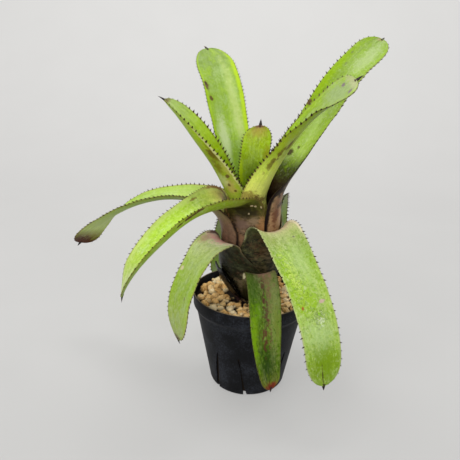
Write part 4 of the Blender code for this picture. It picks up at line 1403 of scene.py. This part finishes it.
LEAVES: tuple[Leaf, ...] = (
    Leaf(
        "leaf_back_tall", BACK_TALL, layer=21.8, heading=(120, 117), wrap=(70, 32), throat=180, bend=20,
        length=131.5, half_width=17.2, taper=-0.13, round_from=0.81, swing=(-1, 9),
        climb=(51, 60, 65, 52, 45), twist=(-9, -12), curl=(60, 34, 15), spine_pitch=(2.7, 3.3),
        spine_length=1.6, point_length=5.5,
    ),
    Leaf(
        "leaf_left_upper", LEFT_UPPER, layer=16.4, heading=(-170, -169), wrap=(66, 71), throat=166, bend=24,
        length=102, half_width=20.7, taper=0.03, round_from=0.59, swing=(-3, -8),
        climb=(61, 62, 55, 55, 44), twist=(-13, -12), curl=(100, 74, 29), spine_pitch=(2.8, 4.2),
        point_half_width=1.7,
    ),
    Leaf(
        "leaf_centre", CENTRE, layer=20, heading=(88, 88), wrap=(70, 37), throat=170, bend=20, length=70,
        half_width=15, taper=0.05, round_from=0.78, swing=(-11, -12), climb=(94, 89, 73, 62, 63),
        twist=(-4, -13), curl=(51, 45, 23), spine_pitch=(2.5, 3), spine_length=1.9, point_length=7,
        point_half_width=1.8,
    ),
    Leaf(
        "leaf_right_back", RIGHT_BACK, layer=23.6, heading=(25, 30), wrap=(105, 70), throat=177, bend=30,
        length=169, half_width=18.1, taper=0.11, round_from=0.88, swing=(12, -1),
        climb=(56, 51, 48, 37, 39), twist=(15, 30), curl=(54, 34, 19), lap_left=(0, 0, 4, 20, 24),
        spine_pitch=(3.2, 5.4), spine_length=2, point_length=4, point_half_width=1.3,
    ),
    Leaf(
        "leaf_right_front", RIGHT_FRONT, layer=18.2, heading=(-42, -29), wrap=(86, 90), throat=182, bend=15,
        length=118, half_width=18.3, taper=0.01, round_from=0.88, swing=(29, 13),
        climb=(74, 64, 55, 44, 45), twist=(-5, 33), curl=(90, 53, 12), neck=(-4.9, -7.5, 14.3),
        point_half_width=2, wave=0.8, keel=0.5,
    ),
    Leaf(
        "leaf_left_back", LEFT_BACK, layer=27.2, heading=(178, 165), wrap=(60, 66), throat=149, bend=23,
        length=156, half_width=16.9, taper=0.12, round_from=0.9, swing=(-7, -5),
        climb=(12, -12, -27, -36, -47), twist=(-6, 32), curl=(44, 43, -22), lap_right=(0, 8, 10, 11),
        spine_length=1.9, point_length=5, point_half_width=1.6,
    ),
    Leaf(
        "leaf_left_front", LEFT_FRONT, layer=25.4, heading=(-125, -137), wrap=(57, 66), throat=173, bend=6,
        length=123, half_width=19.3, taper=0.15, round_from=0.82, swing=(6, -13),
        climb=(4, -7, -24, -38, -69), twist=(13, 23), curl=(50, 64, 19), spine_pitch=(2.8, 4),
        spine_length=1.6, point_length=4.5, point_half_width=2.4,
    ),
    Leaf(
        "leaf_back_right_low", BACK_RIGHT_LOW, layer=25.4, heading=(46, 66), wrap=(104, 46), throat=166,
        bend=6, length=106, half_width=14, taper=0.1, round_from=0.85, swing=(2, 4),
        climb=(-30, -62, -76, -82, -84), twist=(0, 0), curl=(35, 15, 15), lap_left=(0, 60, 56, 6),
    ),
    Leaf(
        "leaf_front_right_low", FRONT_RIGHT_LOW, layer=27.2, heading=(-45, -59), wrap=(55, 47), throat=152,
        bend=7, length=130, half_width=17.8, taper=0.2, round_from=0.82, swing=(2, -6),
        climb=(-28, -40, -54, -72, -85), twist=(16, 9), curl=(38, 0, 10), lap_left=(6, 22, 18, 0),
        blister=(0.36, 0.66, 0.7), spine_pitch=(3.1, 6.2), spine_length=1.7, point_length=5.5,
    ),
    Leaf(
        "leaf_front_left_low", FRONT_LEFT_LOW, layer=29, heading=(-122, -137), wrap=(50, 47), throat=140,
        bend=7, length=99, half_width=15.3, taper=-0.02, round_from=0.72, swing=(9, -4),
        climb=(6, -35, -53, -80, -92), twist=(14, 6), curl=(22, 18, 2), lap_right=(0, 12, 6, -20),
        spine_pitch=(2.8, 4), spine_length=1.8, point_length=5,
    ),
    Leaf(
        "leaf_back_left_low", GUESSED_LOW, layer=29, heading=(112, 106), wrap=(58, 38), throat=138,
        bend=9, length=108, half_width=16.5, taper=0.1, round_from=0.85, swing=(0, -2),
        climb=(-12, -44, -61, -76, -83), twist=(0, 0), curl=(30, 12, 12),
    ),
    Leaf(
        "leaf_front_lowest", FRONT_LOWEST, layer=30.8, heading=(-78, -80), wrap=(34, 26), throat=116,
        bend=7, length=91, half_width=14.4, taper=0.28, round_from=0.91, swing=(-3, 14),
        climb=(-26, -51, -61, -65, -69), twist=(-2, -26), curl=(25, 8, 20), spine_pitch=(3, 4.6),
        point_length=3, point_half_width=1.6, spine_length=1.5,
    ),
)


# Dead leaf base


@dataclass(frozen=True)
class DeadLeafBase:
    """The dead, blackened sheath that clasps the left of the plant."""

    layer: float = 32.6
    heading: float = 203.0
    wrap: float = 36.0
    foot: float = 84.8
    top: float = 124.0
    length: float = 40.0
    ragged: float = 4.0
    narrowing: float = 0.35
    rows: int = 30
    columns: int = 40
    ridge: float = 0.28
    ridges: float = 34.0
    tears: float = 4.2
    fine_tears: float = 13.0
    corner: float = 4.0
    flare: float = 1.2

    def build_mesh(self) -> Mesh:
        """The ribbed, torn sheath, in metres."""
        shell = Shell()
        across = np.linspace(-1.0, 1.0, self.columns + 1)
        face = np.concatenate([np.ones(self.columns + 1), np.zeros(self.columns + 1)])
        size = len(face)
        spread = np.concatenate([across, across[::-1]]) * PLACE_HALF_WIDTH
        rings = []
        for row in range(self.rows + 1):
            share = row / self.rows
            points = {1: [], -1: []}
            for u in across:
                torn = 0.5 + noise.noise(Vector((u * self.tears, 7.3, 0.0)))
                torn += 0.5 * noise.noise(Vector((u * self.fine_tears, 2.1, 0.0)))
                top = self.top - self.ragged * min(max(torn, 0.0), 1.3)
                top -= self.ragged * self.corner * abs(u) ** 3
                height = self.foot + (top - self.foot) * share
                wrap = math.radians(self.wrap * (1.0 - self.narrowing * share**3))
                way = outward(math.radians(self.heading) + wrap * u)
                folds = self.ridge * math.sin(u * self.ridges + 1.5 * math.sin(share * 5.0))
                folds = max(folds * smooth(share * 3.0), -0.1)
                radius = TUBE.radius_at(height, self.layer) + folds + self.flare * max(share - 0.8, 0.0)
                for sign in (1, -1):
                    half = -sign * TUBE.sheath_thick / 2 * (1.0 - 0.5 * u**8)
                    points[sign].append(way * (radius + half) + Vector((0.0, 0.0, height)))
            ring = np.array([list(p) for p in points[1] + points[-1][::-1]])
            where = np.column_stack([spread, np.full(size, share * self.length), (1.0 - face) * FACES_APART])
            rings.append(shell.add(ring, where, share, face, 0.0))
        shell.skin(rings, size)
        for ring in (rings[0], rings[-1]):
            last = ring + size - 1
            shell.faces += [(ring + j, ring + j + 1, last - 1 - j, last - j) for j in range(self.columns)]
        return shell.mesh("dead_leaf_base")

    def finish(self, effects: Effects) -> Material:
        """Glossy black tissue with paler streaks and a purplish foot."""
        material, sheet, shader = new_material("dead_leaf_tissue")
        place = sheet.attribute("place", "Vector")
        reach = sheet.attribute("reach")
        lines = sheet.group(effects.veins, Place=place, Spacing=1.0)["Lines"]
        colour = sheet.coat(lines, (0.3, (5, 4, 2)), (0.58, (12, 9, 5)), (0.82, (44, 34, 24)))
        foot = sheet.flip(sheet.ease(reach, 0.05, 0.4))
        colour = sheet.paint(sheet.times(foot, 0.55), colour, (104, 74, 72))
        rough = sheet.spread(sheet.noise(place, 0.5), 0.08, 0.34)
        sheet.give(shader, Base_Color=colour, Roughness=rough)
        sheet.bump(shader, lines, 1.0, 1.1)
        return material

    def build(self, effects: Effects) -> Object:
        """Build and dress the sheath."""
        mesh, material = self.build_mesh(), self.finish(effects)
        return add_piece("dead_leaf_base_sheath", mesh, material, "dead_leaf_tissue", "dead_leaf_base")


# Pot


def lathe(name: str, profile: Sequence[Pair], steps: int) -> Mesh:
    """A closed solid of revolution from (radius, height) pairs that start and end on the axis.

    Args:
        name: the mesh's name.
        profile: pairs in millimetres.
        steps: points round the axis.

    Returns:
        The mesh, in metres.
    """
    points, faces, rings = [], [], []
    for radius, height in profile:
        if radius < 1e-6:
            rings.append((len(points), 1))
            points.append((0.0, 0.0, height * MM))
            continue
        rings.append((len(points), steps))
        for k in range(steps):
            angle = math.tau * k / steps
            points.append((radius * math.cos(angle) * MM, radius * math.sin(angle) * MM, height * MM))
    for (low, low_count), (high, high_count) in zip(rings, rings[1:]):
        for k in range(steps):
            after = (k + 1) % steps
            corners = [low + k, low + after] if low_count > 1 else [low]
            corners += [high + after, high + k] if high_count > 1 else [high]
            faces.append(corners)
    mesh = bpy.data.meshes.new(name)
    mesh.from_pydata(points, [], faces)
    return turn_out(mesh)


@dataclass(frozen=True)
class Pot:
    """The black moulded pot: a stepped rim band, a tapered wall and pairs of leaning slits."""

    height: float = 92.0
    rim_radius: float = 52.5
    band_height: float = 12.0
    band_draft: float = 0.4
    band_step: float = 3.8
    wall_radius: float = 49.2
    foot_radius: float = 35.6
    foot_round: float = 4.8
    wall: float = 1.2
    floor: float = 1.5
    slit_pairs: int = 4
    pair_turn: float = -117.0
    slit_spread_low: float = 25.0
    slit_spread_high: float = 14.0
    slit_height: float = 44.0
    slit_width: float = 4.2
    slit_tip_width: float = 1.3
    slit_bottom: float = -4.0
    slit_inset: Pair = (9.0, 14.0)
    slit_outset: float = 8.0
    tongue: float = 0.55
    tongue_inside: float = 28.0
    rim_round: float = 0.55
    wall_inset: float = 0.08
    wall_rows: int = 12
    steps: int = 240
    sharp: float = 32.0
    sheen: float = 0.12

    # Steps outwards and upwards from the band's foot and from the wall's top
    BAND_EDGE = ((0.0, 0.8), (-0.12, 0.3), (-0.45, -0.25))
    STEP_EDGE = ((0.45, 0.5), (0.1, -0.1))
    WALL_TOP = 1.0

    def outer_profile(self) -> list[Pair]:
        """The wall's outside from the rim to the base, with its edges rounded."""
        low, rim_round = self.height - self.band_height, self.rim_round
        points = []
        for turn in (0.0, 30.0, 60.0, 90.0):
            sine, cosine = math.sin(math.radians(turn)), math.cos(math.radians(turn))
            points.append((self.rim_radius - rim_round * (1 - sine), self.height - rim_round * (1 - cosine)))
        for share in (0.33, 0.66):
            height = self.height - rim_round - (self.band_height - 2.0) * share
            points.append((self.rim_radius - self.band_draft * share, height))
        band, step = self.rim_radius - self.band_draft, low - self.band_step
        points += [(band + across, low + up) for across, up in self.BAND_EDGE]
        points += [(self.wall_radius + across, step + up) for across, up in self.STEP_EDGE]
        inset, top = self.wall_inset, step - self.WALL_TOP
        for i in range(self.wall_rows):
            share = i / self.wall_rows
            radius = self.wall_radius - inset + (self.foot_radius - self.wall_radius + inset) * share
            points.append((radius, top + (self.foot_round - top) * share))
        for turn in range(0, 91, 15):
            angle = math.radians(turn)
            across, down = self.foot_round * math.cos(angle), self.foot_round * math.sin(angle)
            points.append((self.foot_radius - self.foot_round + across, self.foot_round - down))
        return points

    def inner_profile(self) -> list[Pair]:
        """The wall's inside from the floor up to the rim."""
        low = self.height - self.band_height
        wall = self.wall
        return [
            (0.0, self.floor),
            (self.foot_radius - self.foot_round - wall / 2, self.floor),
            (self.foot_radius - wall, self.foot_round + wall / 2),
            (self.wall_radius - wall, low - self.band_step + wall / 3),
            (self.rim_radius - self.band_draft - wall, low + wall / 3),
            (self.rim_radius - wall, self.height - 0.5),
            (self.rim_radius - wall + 0.15, self.height - 0.1),
        ]

    def _slit_cutter(self, middle: float, lean: float) -> Object:
        """A slanting wedge through the wall, widest at the base."""
        bm = bmesh.new()
        bmesh.ops.create_cube(bm, size=1.0)
        for vert in bm.verts:
            top = vert.co.z > 0.0
            inside = vert.co.x < 0.0
            width = self.slit_tip_width if top else self.slit_width
            depth = self.wall_radius + self.slit_outset
            if inside:
                foot_inset, top_inset = self.slit_inset
                depth = self.wall_radius - top_inset if top else self.foot_radius - foot_inset
            way = outward(math.radians(middle + (lean if top else 0.0)))
            side = Vector((-way.y, way.x, 0.0))
            spot = way * depth + side * (width * (0.5 if vert.co.y > 0.0 else -0.5))
            spot.z = self.slit_height if top else self.slit_bottom
            vert.co = spot * MM
        mesh = bpy.data.meshes.new("slit")
        bm.to_mesh(mesh)
        bm.free()
        return link("slit", mesh)

    def _press_tongues(self, mesh: Mesh) -> None:
        """Set the tongues between each pair's slits a little proud of the wall, most at the foot."""
        between = 360.0 / self.slit_pairs
        for vert in mesh.vertices:
            turn = math.degrees(math.atan2(vert.co.y, vert.co.x))
            apart = (turn - self.pair_turn + between / 2) % between - between / 2
            rise = vert.co.z / MM / self.slit_height
            reach = self.slit_spread_low + (self.slit_spread_high - self.slit_spread_low) * rise
            outside = math.hypot(vert.co.x, vert.co.y) > self.tongue_inside * MM
            if rise < 1.0 and abs(apart) < reach and outside:
                vert.co += outward(math.radians(turn)) * (self.tongue * (1.0 - rise) ** 0.7 * MM)

    def build_mesh(self) -> Mesh:
        """The turned shell with its slits cut, in metres."""
        mesh = lathe("pot", [*self.inner_profile(), *self.outer_profile(), (0.0, 0.0)], self.steps)
        self._press_tongues(mesh)
        pot = link("pot_blank", mesh)
        cutters = []
        for pair in range(self.slit_pairs):
            middle = self.pair_turn + pair * 360.0 / self.slit_pairs
            for hand in (-1, 1):
                lean = hand * (self.slit_spread_high - self.slit_spread_low)
                cutters.append(self._slit_cutter(middle + hand * self.slit_spread_low, lean))
        for cutter in cutters:
            cut = pot.modifiers.new("slit", "BOOLEAN")
            cut.object = cutter
            cut.operation = "DIFFERENCE"
            cut.solver = "MANIFOLD"
        graph = bpy.context.evaluated_depsgraph_get()
        made = bpy.data.meshes.new_from_object(pot.evaluated_get(graph))
        for thing in (pot, *cutters):
            bpy.data.objects.remove(thing)
        return shaded(made, self.sharp)

    def finish(self, effects: Effects) -> Material:
        """Matte black plastic with a moulded grain, dust and a tan film on the rim's top."""
        material, sheet, shader = new_material("pot_plastic")
        scaled = sheet.spot(*MILLIMETRES)
        grain = sheet.noise(scaled, 0.7, 4.0, 0.7)
        cloud = sheet.noise(scaled, 0.05, 3.0, 0.6)
        shade = sheet.times_plus(sheet.centred(grain), 1.3, cloud)
        colour = sheet.coat(shade, (0.25, (5, 6, 8)), (0.5, (14, 15, 19)), (0.8, (42, 45, 52)))
        dust = sheet.group(effects.specks, Place=scaled, Cell=7.0, Share=0.06, Radius=0.085)["Mask"]
        colour = sheet.paint(sheet.times(dust, 0.8), colour, (190, 188, 184))
        brim = sheet.ease(sheet.axis(scaled, "Z"), self.height - 0.35, self.height - 0.05)
        worn = sheet.times(brim, sheet.spread(cloud, 0.2, 0.9))
        colour = sheet.paint(worn, colour, (150, 132, 104))
        sheet.give(shader, Base_Color=colour)
        sheet.give(shader, Roughness=sheet.spread(grain, 0.46, 0.66))
        sheet.bump(shader, grain, 0.5, 0.2)
        sheet.give(shader, Specular_IOR_Level=self.sheen)
        return material

    def build(self, effects: Effects) -> Object:
        """Build and dress the pot."""
        return add_piece("slit_pot", self.build_mesh(), self.finish(effects), "pot_plastic", "pot")


# Grit and stem


Grain = tuple[Vector, float, list[float], list[float]]


@dataclass(frozen=True)
class Grit:
    """The bed that fills the pot: the solid's own grains, chipped, with smaller ones between them."""

    pot: Pot
    level: float = 84.5
    clearance: float = 0.3
    stem_bottom: float = 58.0
    grain_count: int = 104
    grain_radius: Pair = (3.6, 4.9)
    nearest: float = 20.5
    furthest: float = 46.3
    seed: int = 11
    filler_count: int = 250
    filler_radius: Pair = (1.3, 2.7)
    filler_nearest: float = 14.5
    filler_furthest: float = 48.6
    flats: int = 11
    flat_depth: Pair = (0.56, 0.86)
    swell: float = 1.15
    roughness: float = 0.20
    tints: Pair = (0.26, 1.0)
    steps: int = 96
    sharp: float = 24.0

    def _drawn(
        self, chance: random.Random, radius: Pair, form: Pair, lift: Pair
    ) -> tuple[float, list[float], list[float], float]:
        """Draw a grain's radius, its stretch and turn on three axes, and its height."""
        size = chance.uniform(*radius)
        shape = [chance.uniform(*form) for _ in range(3)]
        turn = [chance.uniform(0.0, math.tau) for _ in range(3)]
        return size, shape, turn, self.level + chance.uniform(*lift)

    def grain_places(self) -> Iterator[Grain]:
        """The solid's grains: a sunflower spiral over the ring, each with a little scatter."""
        chance = random.Random(self.seed)
        golden = math.pi * (3.0 - math.sqrt(5.0))
        for i in range(self.grain_count):
            share = (i + 0.5) / self.grain_count
            reach = math.sqrt(self.nearest**2 + (self.furthest**2 - self.nearest**2) * share)
            size, shape, turn, height = self._drawn(chance, self.grain_radius, (0.8, 1.15), (-0.6, 0.9))
            yield outward(i * golden) * reach + Vector((0.0, 0.0, height)), size, shape, turn

    def filler_places(self) -> Iterator[Grain]:
        """The smaller grains, scattered between and half under the others."""
        chance = random.Random(self.seed + 1)
        for _ in range(self.filler_count):
            reach = math.sqrt(chance.uniform(self.filler_nearest**2, self.filler_furthest**2))
            size, shape, turn, height = self._drawn(chance, self.filler_radius, (0.7, 1.2), (-0.6, 1.6))
            reach = min(reach, self.filler_furthest - size)
            spot = outward(chance.uniform(0.0, math.tau)) * reach + Vector((0.0, 0.0, height))
            yield spot, size, shape, turn

    def _chipped(
        self, bm: bmesh.types.BMesh, chance: random.Random, size: float, turn: Matrix, place: Vector,
        detail: int,
    ) -> list:
        """Add a ball with flats knocked off it to the bed, turned and stretched. Its vertices come back."""
        made = bmesh.ops.create_icosphere(bm, subdivisions=detail, radius=1.0)["verts"]
        flats = []
        for _ in range(self.flats):
            way = Vector([chance.gauss(0, 1) for _ in range(3)]).normalized()
            flats.append((way, chance.uniform(*self.flat_depth)))
        drift = Vector((chance.uniform(0, 50), chance.uniform(0, 50), 0.0))
        for vert in made:
            spot = vert.co.copy()
            for way, depth in flats:
                over = spot.dot(way) - depth
                if over > 0.0:
                    spot -= way * over
            spot *= self.swell + self.roughness * noise.noise(spot * 3.0 + drift)
            vert.co = (turn @ (spot * size) + place) * MM
        return made

    def build_mesh(self) -> Mesh:
        """The bed with its grains, in metres, each grain with its own tint."""
        inset = self.pot.wall + self.clearance
        pot, low = self.pot, self.pot.height - self.pot.band_height
        bore = TUBE.stem_radius + self.clearance
        profile = [
            (0.0, self.stem_bottom - self.clearance),
            (bore, self.stem_bottom - self.clearance),
            (bore, self.level),
            (pot.rim_radius - pot.band_draft - inset, self.level),
            (pot.rim_radius - pot.band_draft - inset, low + inset / 3),
            (pot.wall_radius - inset, low - pot.band_step + inset / 3),
            (pot.foot_radius - inset, pot.foot_round + inset / 2),
            (pot.foot_radius - pot.foot_round - inset / 2, pot.floor + self.clearance),
            (0.0, pot.floor + self.clearance),
        ]
        bed = lathe("grit", profile, self.steps)
        bm = bmesh.new()
        bm.from_mesh(bed)
        tint = bm.verts.layers.float.new("tint")
        chance = random.Random(self.seed + 2)
        for places, detail in ((self.grain_places(), 3), (self.filler_places(), 2)):
            for place, size, shape, turn in places:
                spin = Matrix.Rotation(turn[2], 3, "Z") @ Matrix.Rotation(turn[1], 3, "Y")
                spin = spin @ Matrix.Rotation(turn[0], 3, "X")
                stretch = Matrix.Diagonal(shape)
                shade = chance.uniform(*self.tints)
                for vert in self._chipped(bm, chance, size, spin @ stretch, place, detail):
                    vert[tint] = shade
        mesh = bpy.data.meshes.new("grit_bed")
        bm.to_mesh(mesh)
        bm.free()
        bpy.data.meshes.remove(bed)
        return shaded(mesh, self.sharp)

    def finish(self, effects: Effects) -> Material:
        """Peach to brown baked grit, pitted and powdery, with painted shade below the grains' tops."""
        material, sheet, shader = new_material("pale_grit")
        scaled = sheet.spot(*MILLIMETRES)
        tint = sheet.attribute("tint")
        stain = sheet.noise(scaled, 0.35, 4.0, 0.6)
        share = sheet.times_plus(sheet.centred(stain), 0.9, tint)
        colour = sheet.coat(
            share, (0.0, (92, 62, 28)), (0.16, (160, 116, 60)), (0.36, (224, 178, 110)),
            (0.68, (250, 212, 148)), (1.0, (254, 234, 190)),
        )
        pits = sheet.group(effects.specks, Place=scaled, Cell=1.3, Share=0.35, Radius=0.34)["Mask"]
        colour = sheet.paint(sheet.times(pits, 0.45), colour, (112, 78, 46))
        # Painted shade: below the grains' tops the colour sinks to near black, for the gaps between grains
        # and the bed beneath them
        painted_gap_shade = sheet.flip(sheet.ease(sheet.axis(scaled, "Z"), self.level + 0.2, self.level + 3.4))
        colour = sheet.paint(sheet.times(painted_gap_shade, 0.95), colour, (16, 10, 5))
        sheet.give(shader, Base_Color=colour)
        sheet.give(shader, Roughness=0.92)
        rough = sheet.times_plus(sheet.noise(scaled, 2.4, 4.0, 0.65), 0.6, sheet.times(pits, -0.5))
        sheet.bump(shader, rough, 0.8, 0.35)
        sheet.give(shader, Specular_IOR_Level=0.25)
        return material

    def build(self, effects: Effects) -> Object:
        """Build and dress the bed."""
        return add_piece("grit_bed", self.build_mesh(), self.finish(effects), "pale_grit", "grit")


@dataclass(frozen=True)
class Stem:
    """The short stem that the leaf bases clasp."""

    bottom: float = 58.0
    steps: int = 64
    ring_step: float = 1.6
    ring_depth: float = 0.22
    sharp: float = 40.0

    def build_mesh(self) -> Mesh:
        """A cone ringed with leaf scars over a plug, in metres."""
        profile = [(0.0, TUBE.stem_top), (TUBE.stem_tip_radius, TUBE.stem_top)]
        rows = round((TUBE.stem_top - TUBE.stem_shoulder) / (self.ring_step / 4))
        for row in range(1, rows):
            height = TUBE.stem_top + (TUBE.stem_shoulder - TUBE.stem_top) * row / rows
            dip = self.ring_depth * (0.5 - 0.5 * math.cos(math.tau * height / self.ring_step))
            profile.append((TUBE.stem_radius_at(height) - dip, height))
        profile += [(TUBE.stem_radius, TUBE.stem_shoulder), (TUBE.stem_radius, self.bottom)]
        profile.append((0.0, self.bottom))
        return shaded(lathe("stem", profile, self.steps), self.sharp)

    def finish(self) -> Material:
        """Brown fibrous tissue."""
        material, sheet, shader = new_material("stem_tissue")
        fibre = sheet.noise(sheet.spot(1000.0, 1000.0, 260.0), 0.9, 4.0, 0.6)
        colour = sheet.coat(fibre, (0.3, (70, 50, 30)), (0.5, (122, 96, 60)), (0.75, (164, 138, 94)))
        sheet.give(shader, Base_Color=colour)
        sheet.give(shader, Roughness=0.8)
        sheet.bump(shader, fibre, 0.6, 0.4)
        return material

    def build(self) -> Object:
        """Build and dress the stem."""
        return add_piece("stem_core", self.build_mesh(), self.finish(), "stem_tissue", "stem")


# Studio


@dataclass(frozen=True)
class Studio:
    """The pale sweep, the soft lights and the camera."""

    lens: float = 39.13
    pitch: float = 19.5
    roll: float = 1.55
    distance: float = 445.0
    target: tuple[float, float, float] = (-20.0, 0.0, 150.0)
    floor_half: float = 2600.0
    sweep_start: float = 620.0
    sweep_radius: float = 900.0
    sweep_top: float = 2400.0
    sweep_rows: int = 24
    sensor: float = 36.0
    nearest_seen: float = 0.01
    room_light: float = 0.50
    room_seen: float = 0.60

    PAPER = ((0.3, (0.165, 0.164, 0.161)), (0.7, (0.175, 0.174, 0.171)))
    # Painted light: the sweep's glow, from the front of the floor to the top of the backdrop
    GLOW = ((0.20, (0.365, 0.362, 0.355)), (0.42, (0.39, 0.386, 0.379)), (0.95, (0.52, 0.515, 0.505)))
    ROOM = (1.0, 0.995, 0.985, 1.0)
    LIGHTS = (
        ("above_left", (-560.0, -720.0, 1400.0), (0.0, 0.0, 120.0), 1000.0, 12.0),
        ("front", (-150.0, -1400.0, 620.0), (0.0, 0.0, 140.0), 900.0, 6.0),
        ("back_left", (-520.0, 420.0, 1150.0), (0.0, 0.0, 120.0), 420.0, 4.2),
        ("back_right", (560.0, 520.0, 1100.0), (0.0, 0.0, 120.0), 420.0, 3.4),
        ("backdrop", (0.0, 200.0, 1900.0), (0.0, 1500.0, 900.0), 900.0, 19.0),
    )

    def build_camera(self) -> None:
        """A camera where the photograph's stood."""
        pitch, roll = math.radians(self.pitch), math.radians(self.roll)
        ahead = Vector((0.0, math.cos(pitch), -math.sin(pitch)))
        right = Vector((1.0, 0.0, 0.0))
        up = Vector((0.0, math.sin(pitch), math.cos(pitch)))
        turned_right = right * math.cos(roll) + up * math.sin(roll)
        turned_up = up * math.cos(roll) - right * math.sin(roll)
        data = bpy.data.cameras.new("camera")
        data.sensor_width = self.sensor
        data.lens = self.lens
        data.clip_start = self.nearest_seen
        camera = link("camera", data)
        turn = Matrix((turned_right, turned_up, -ahead)).transposed()
        place = (Vector(self.target) - ahead * self.distance) * MM
        camera.matrix_world = Matrix.Translation(place) @ turn.to_4x4()
        bpy.context.scene.camera = camera

    def build_sweep(self) -> None:
        """A floor that curves up into a backdrop, with painted light: it glows from within, more towards the
        back, so that shadows on it stay pale.
        """
        line = [(-self.floor_half, 0.0), (self.sweep_start, 0.0)]
        for i in range(1, self.sweep_rows + 1):
            angle = math.pi / 2 * i / self.sweep_rows
            depth = self.sweep_start + self.sweep_radius * math.sin(angle)
            line.append((depth, self.sweep_radius * (1 - math.cos(angle))))
        line.append((self.sweep_start + self.sweep_radius, self.sweep_top))
        points = [(x * MM, y * MM, z * MM) for y, z in line for x in (-self.floor_half, self.floor_half)]
        faces = [(2 * i, 2 * i + 1, 2 * i + 3, 2 * i + 2) for i in range(len(line) - 1)]
        mesh = bpy.data.meshes.new("sweep")
        mesh.from_pydata(points, [], faces)
        mesh.shade_smooth()
        material, sheet, shader = new_material("sweep_paper")
        tone = sheet.noise(sheet.spot(6.0, 6.0, 6.0), 1.0, 2.0)
        sheet.give(shader, Base_Color=sheet.ramp(tone, self.PAPER))
        end = (self.sweep_start + self.sweep_radius) * MM
        depth = sheet.times(sheet.axis(sheet.spot(1.0, 1.0, 1.0), "Y"), 1.0 / end)
        sheet.give(shader, Emission_Color=sheet.ramp(depth, self.GLOW))
        sheet.give(shader, Emission_Strength=1.0, Roughness=0.7, Specular_IOR_Level=0.2)
        mesh.materials.append(material)
        link("sweep", mesh)

    def build_lights(self) -> None:
        """Softboxes round the plant, one on the backdrop, and a room as pale as the sweep where it shows."""
        for name, place, aim, size, power in self.LIGHTS:
            data = bpy.data.lights.new(name, "AREA")
            data.shape = "SQUARE"
            data.size = size * MM
            data.energy = power
            light = link(name, data)
            light.location = Vector(place) * MM
            light.rotation_euler = (Vector(aim) - Vector(place)).to_track_quat("-Z", "Y").to_euler()
        world = bpy.data.worlds.new("room")
        world.use_nodes = True
        tree = world.node_tree
        room = tree.nodes["Background"]
        room.inputs["Color"].default_value = self.ROOM
        sheet = Sheet(tree)
        seen = sheet.node("ShaderNodeLightPath").outputs["Is Camera Ray"]
        sheet.feed(room.inputs["Strength"], sheet.spread(seen, self.room_light, self.room_seen))
        bpy.context.scene.world = world

    def build(self) -> None:
        """Set up everything that isn't part of the plant."""
        self.build_camera()
        self.build_sweep()
        self.build_lights()
        bpy.context.scene.view_settings.view_transform = "Standard"


def main() -> None:
    """Build every piece in order."""
    logging.basicConfig(level=logging.INFO, format="%(message)s")
    Studio().build()
    effects = Effects()
    pot = Pot()
    pieces = [pot.build(effects), Grit(pot).build(effects), Stem().build(), DeadLeafBase().build(effects)]
    for number, leaf in enumerate(LEAVES):
        pieces.append(leaf.build(effects, random.Random(100 + number)))
    for piece in pieces:
        LOG.info("%s: %d faces", piece.name, len(piece.data.polygons))
    bpy.context.view_layer.update()


if __name__ == "__main__":
    main()
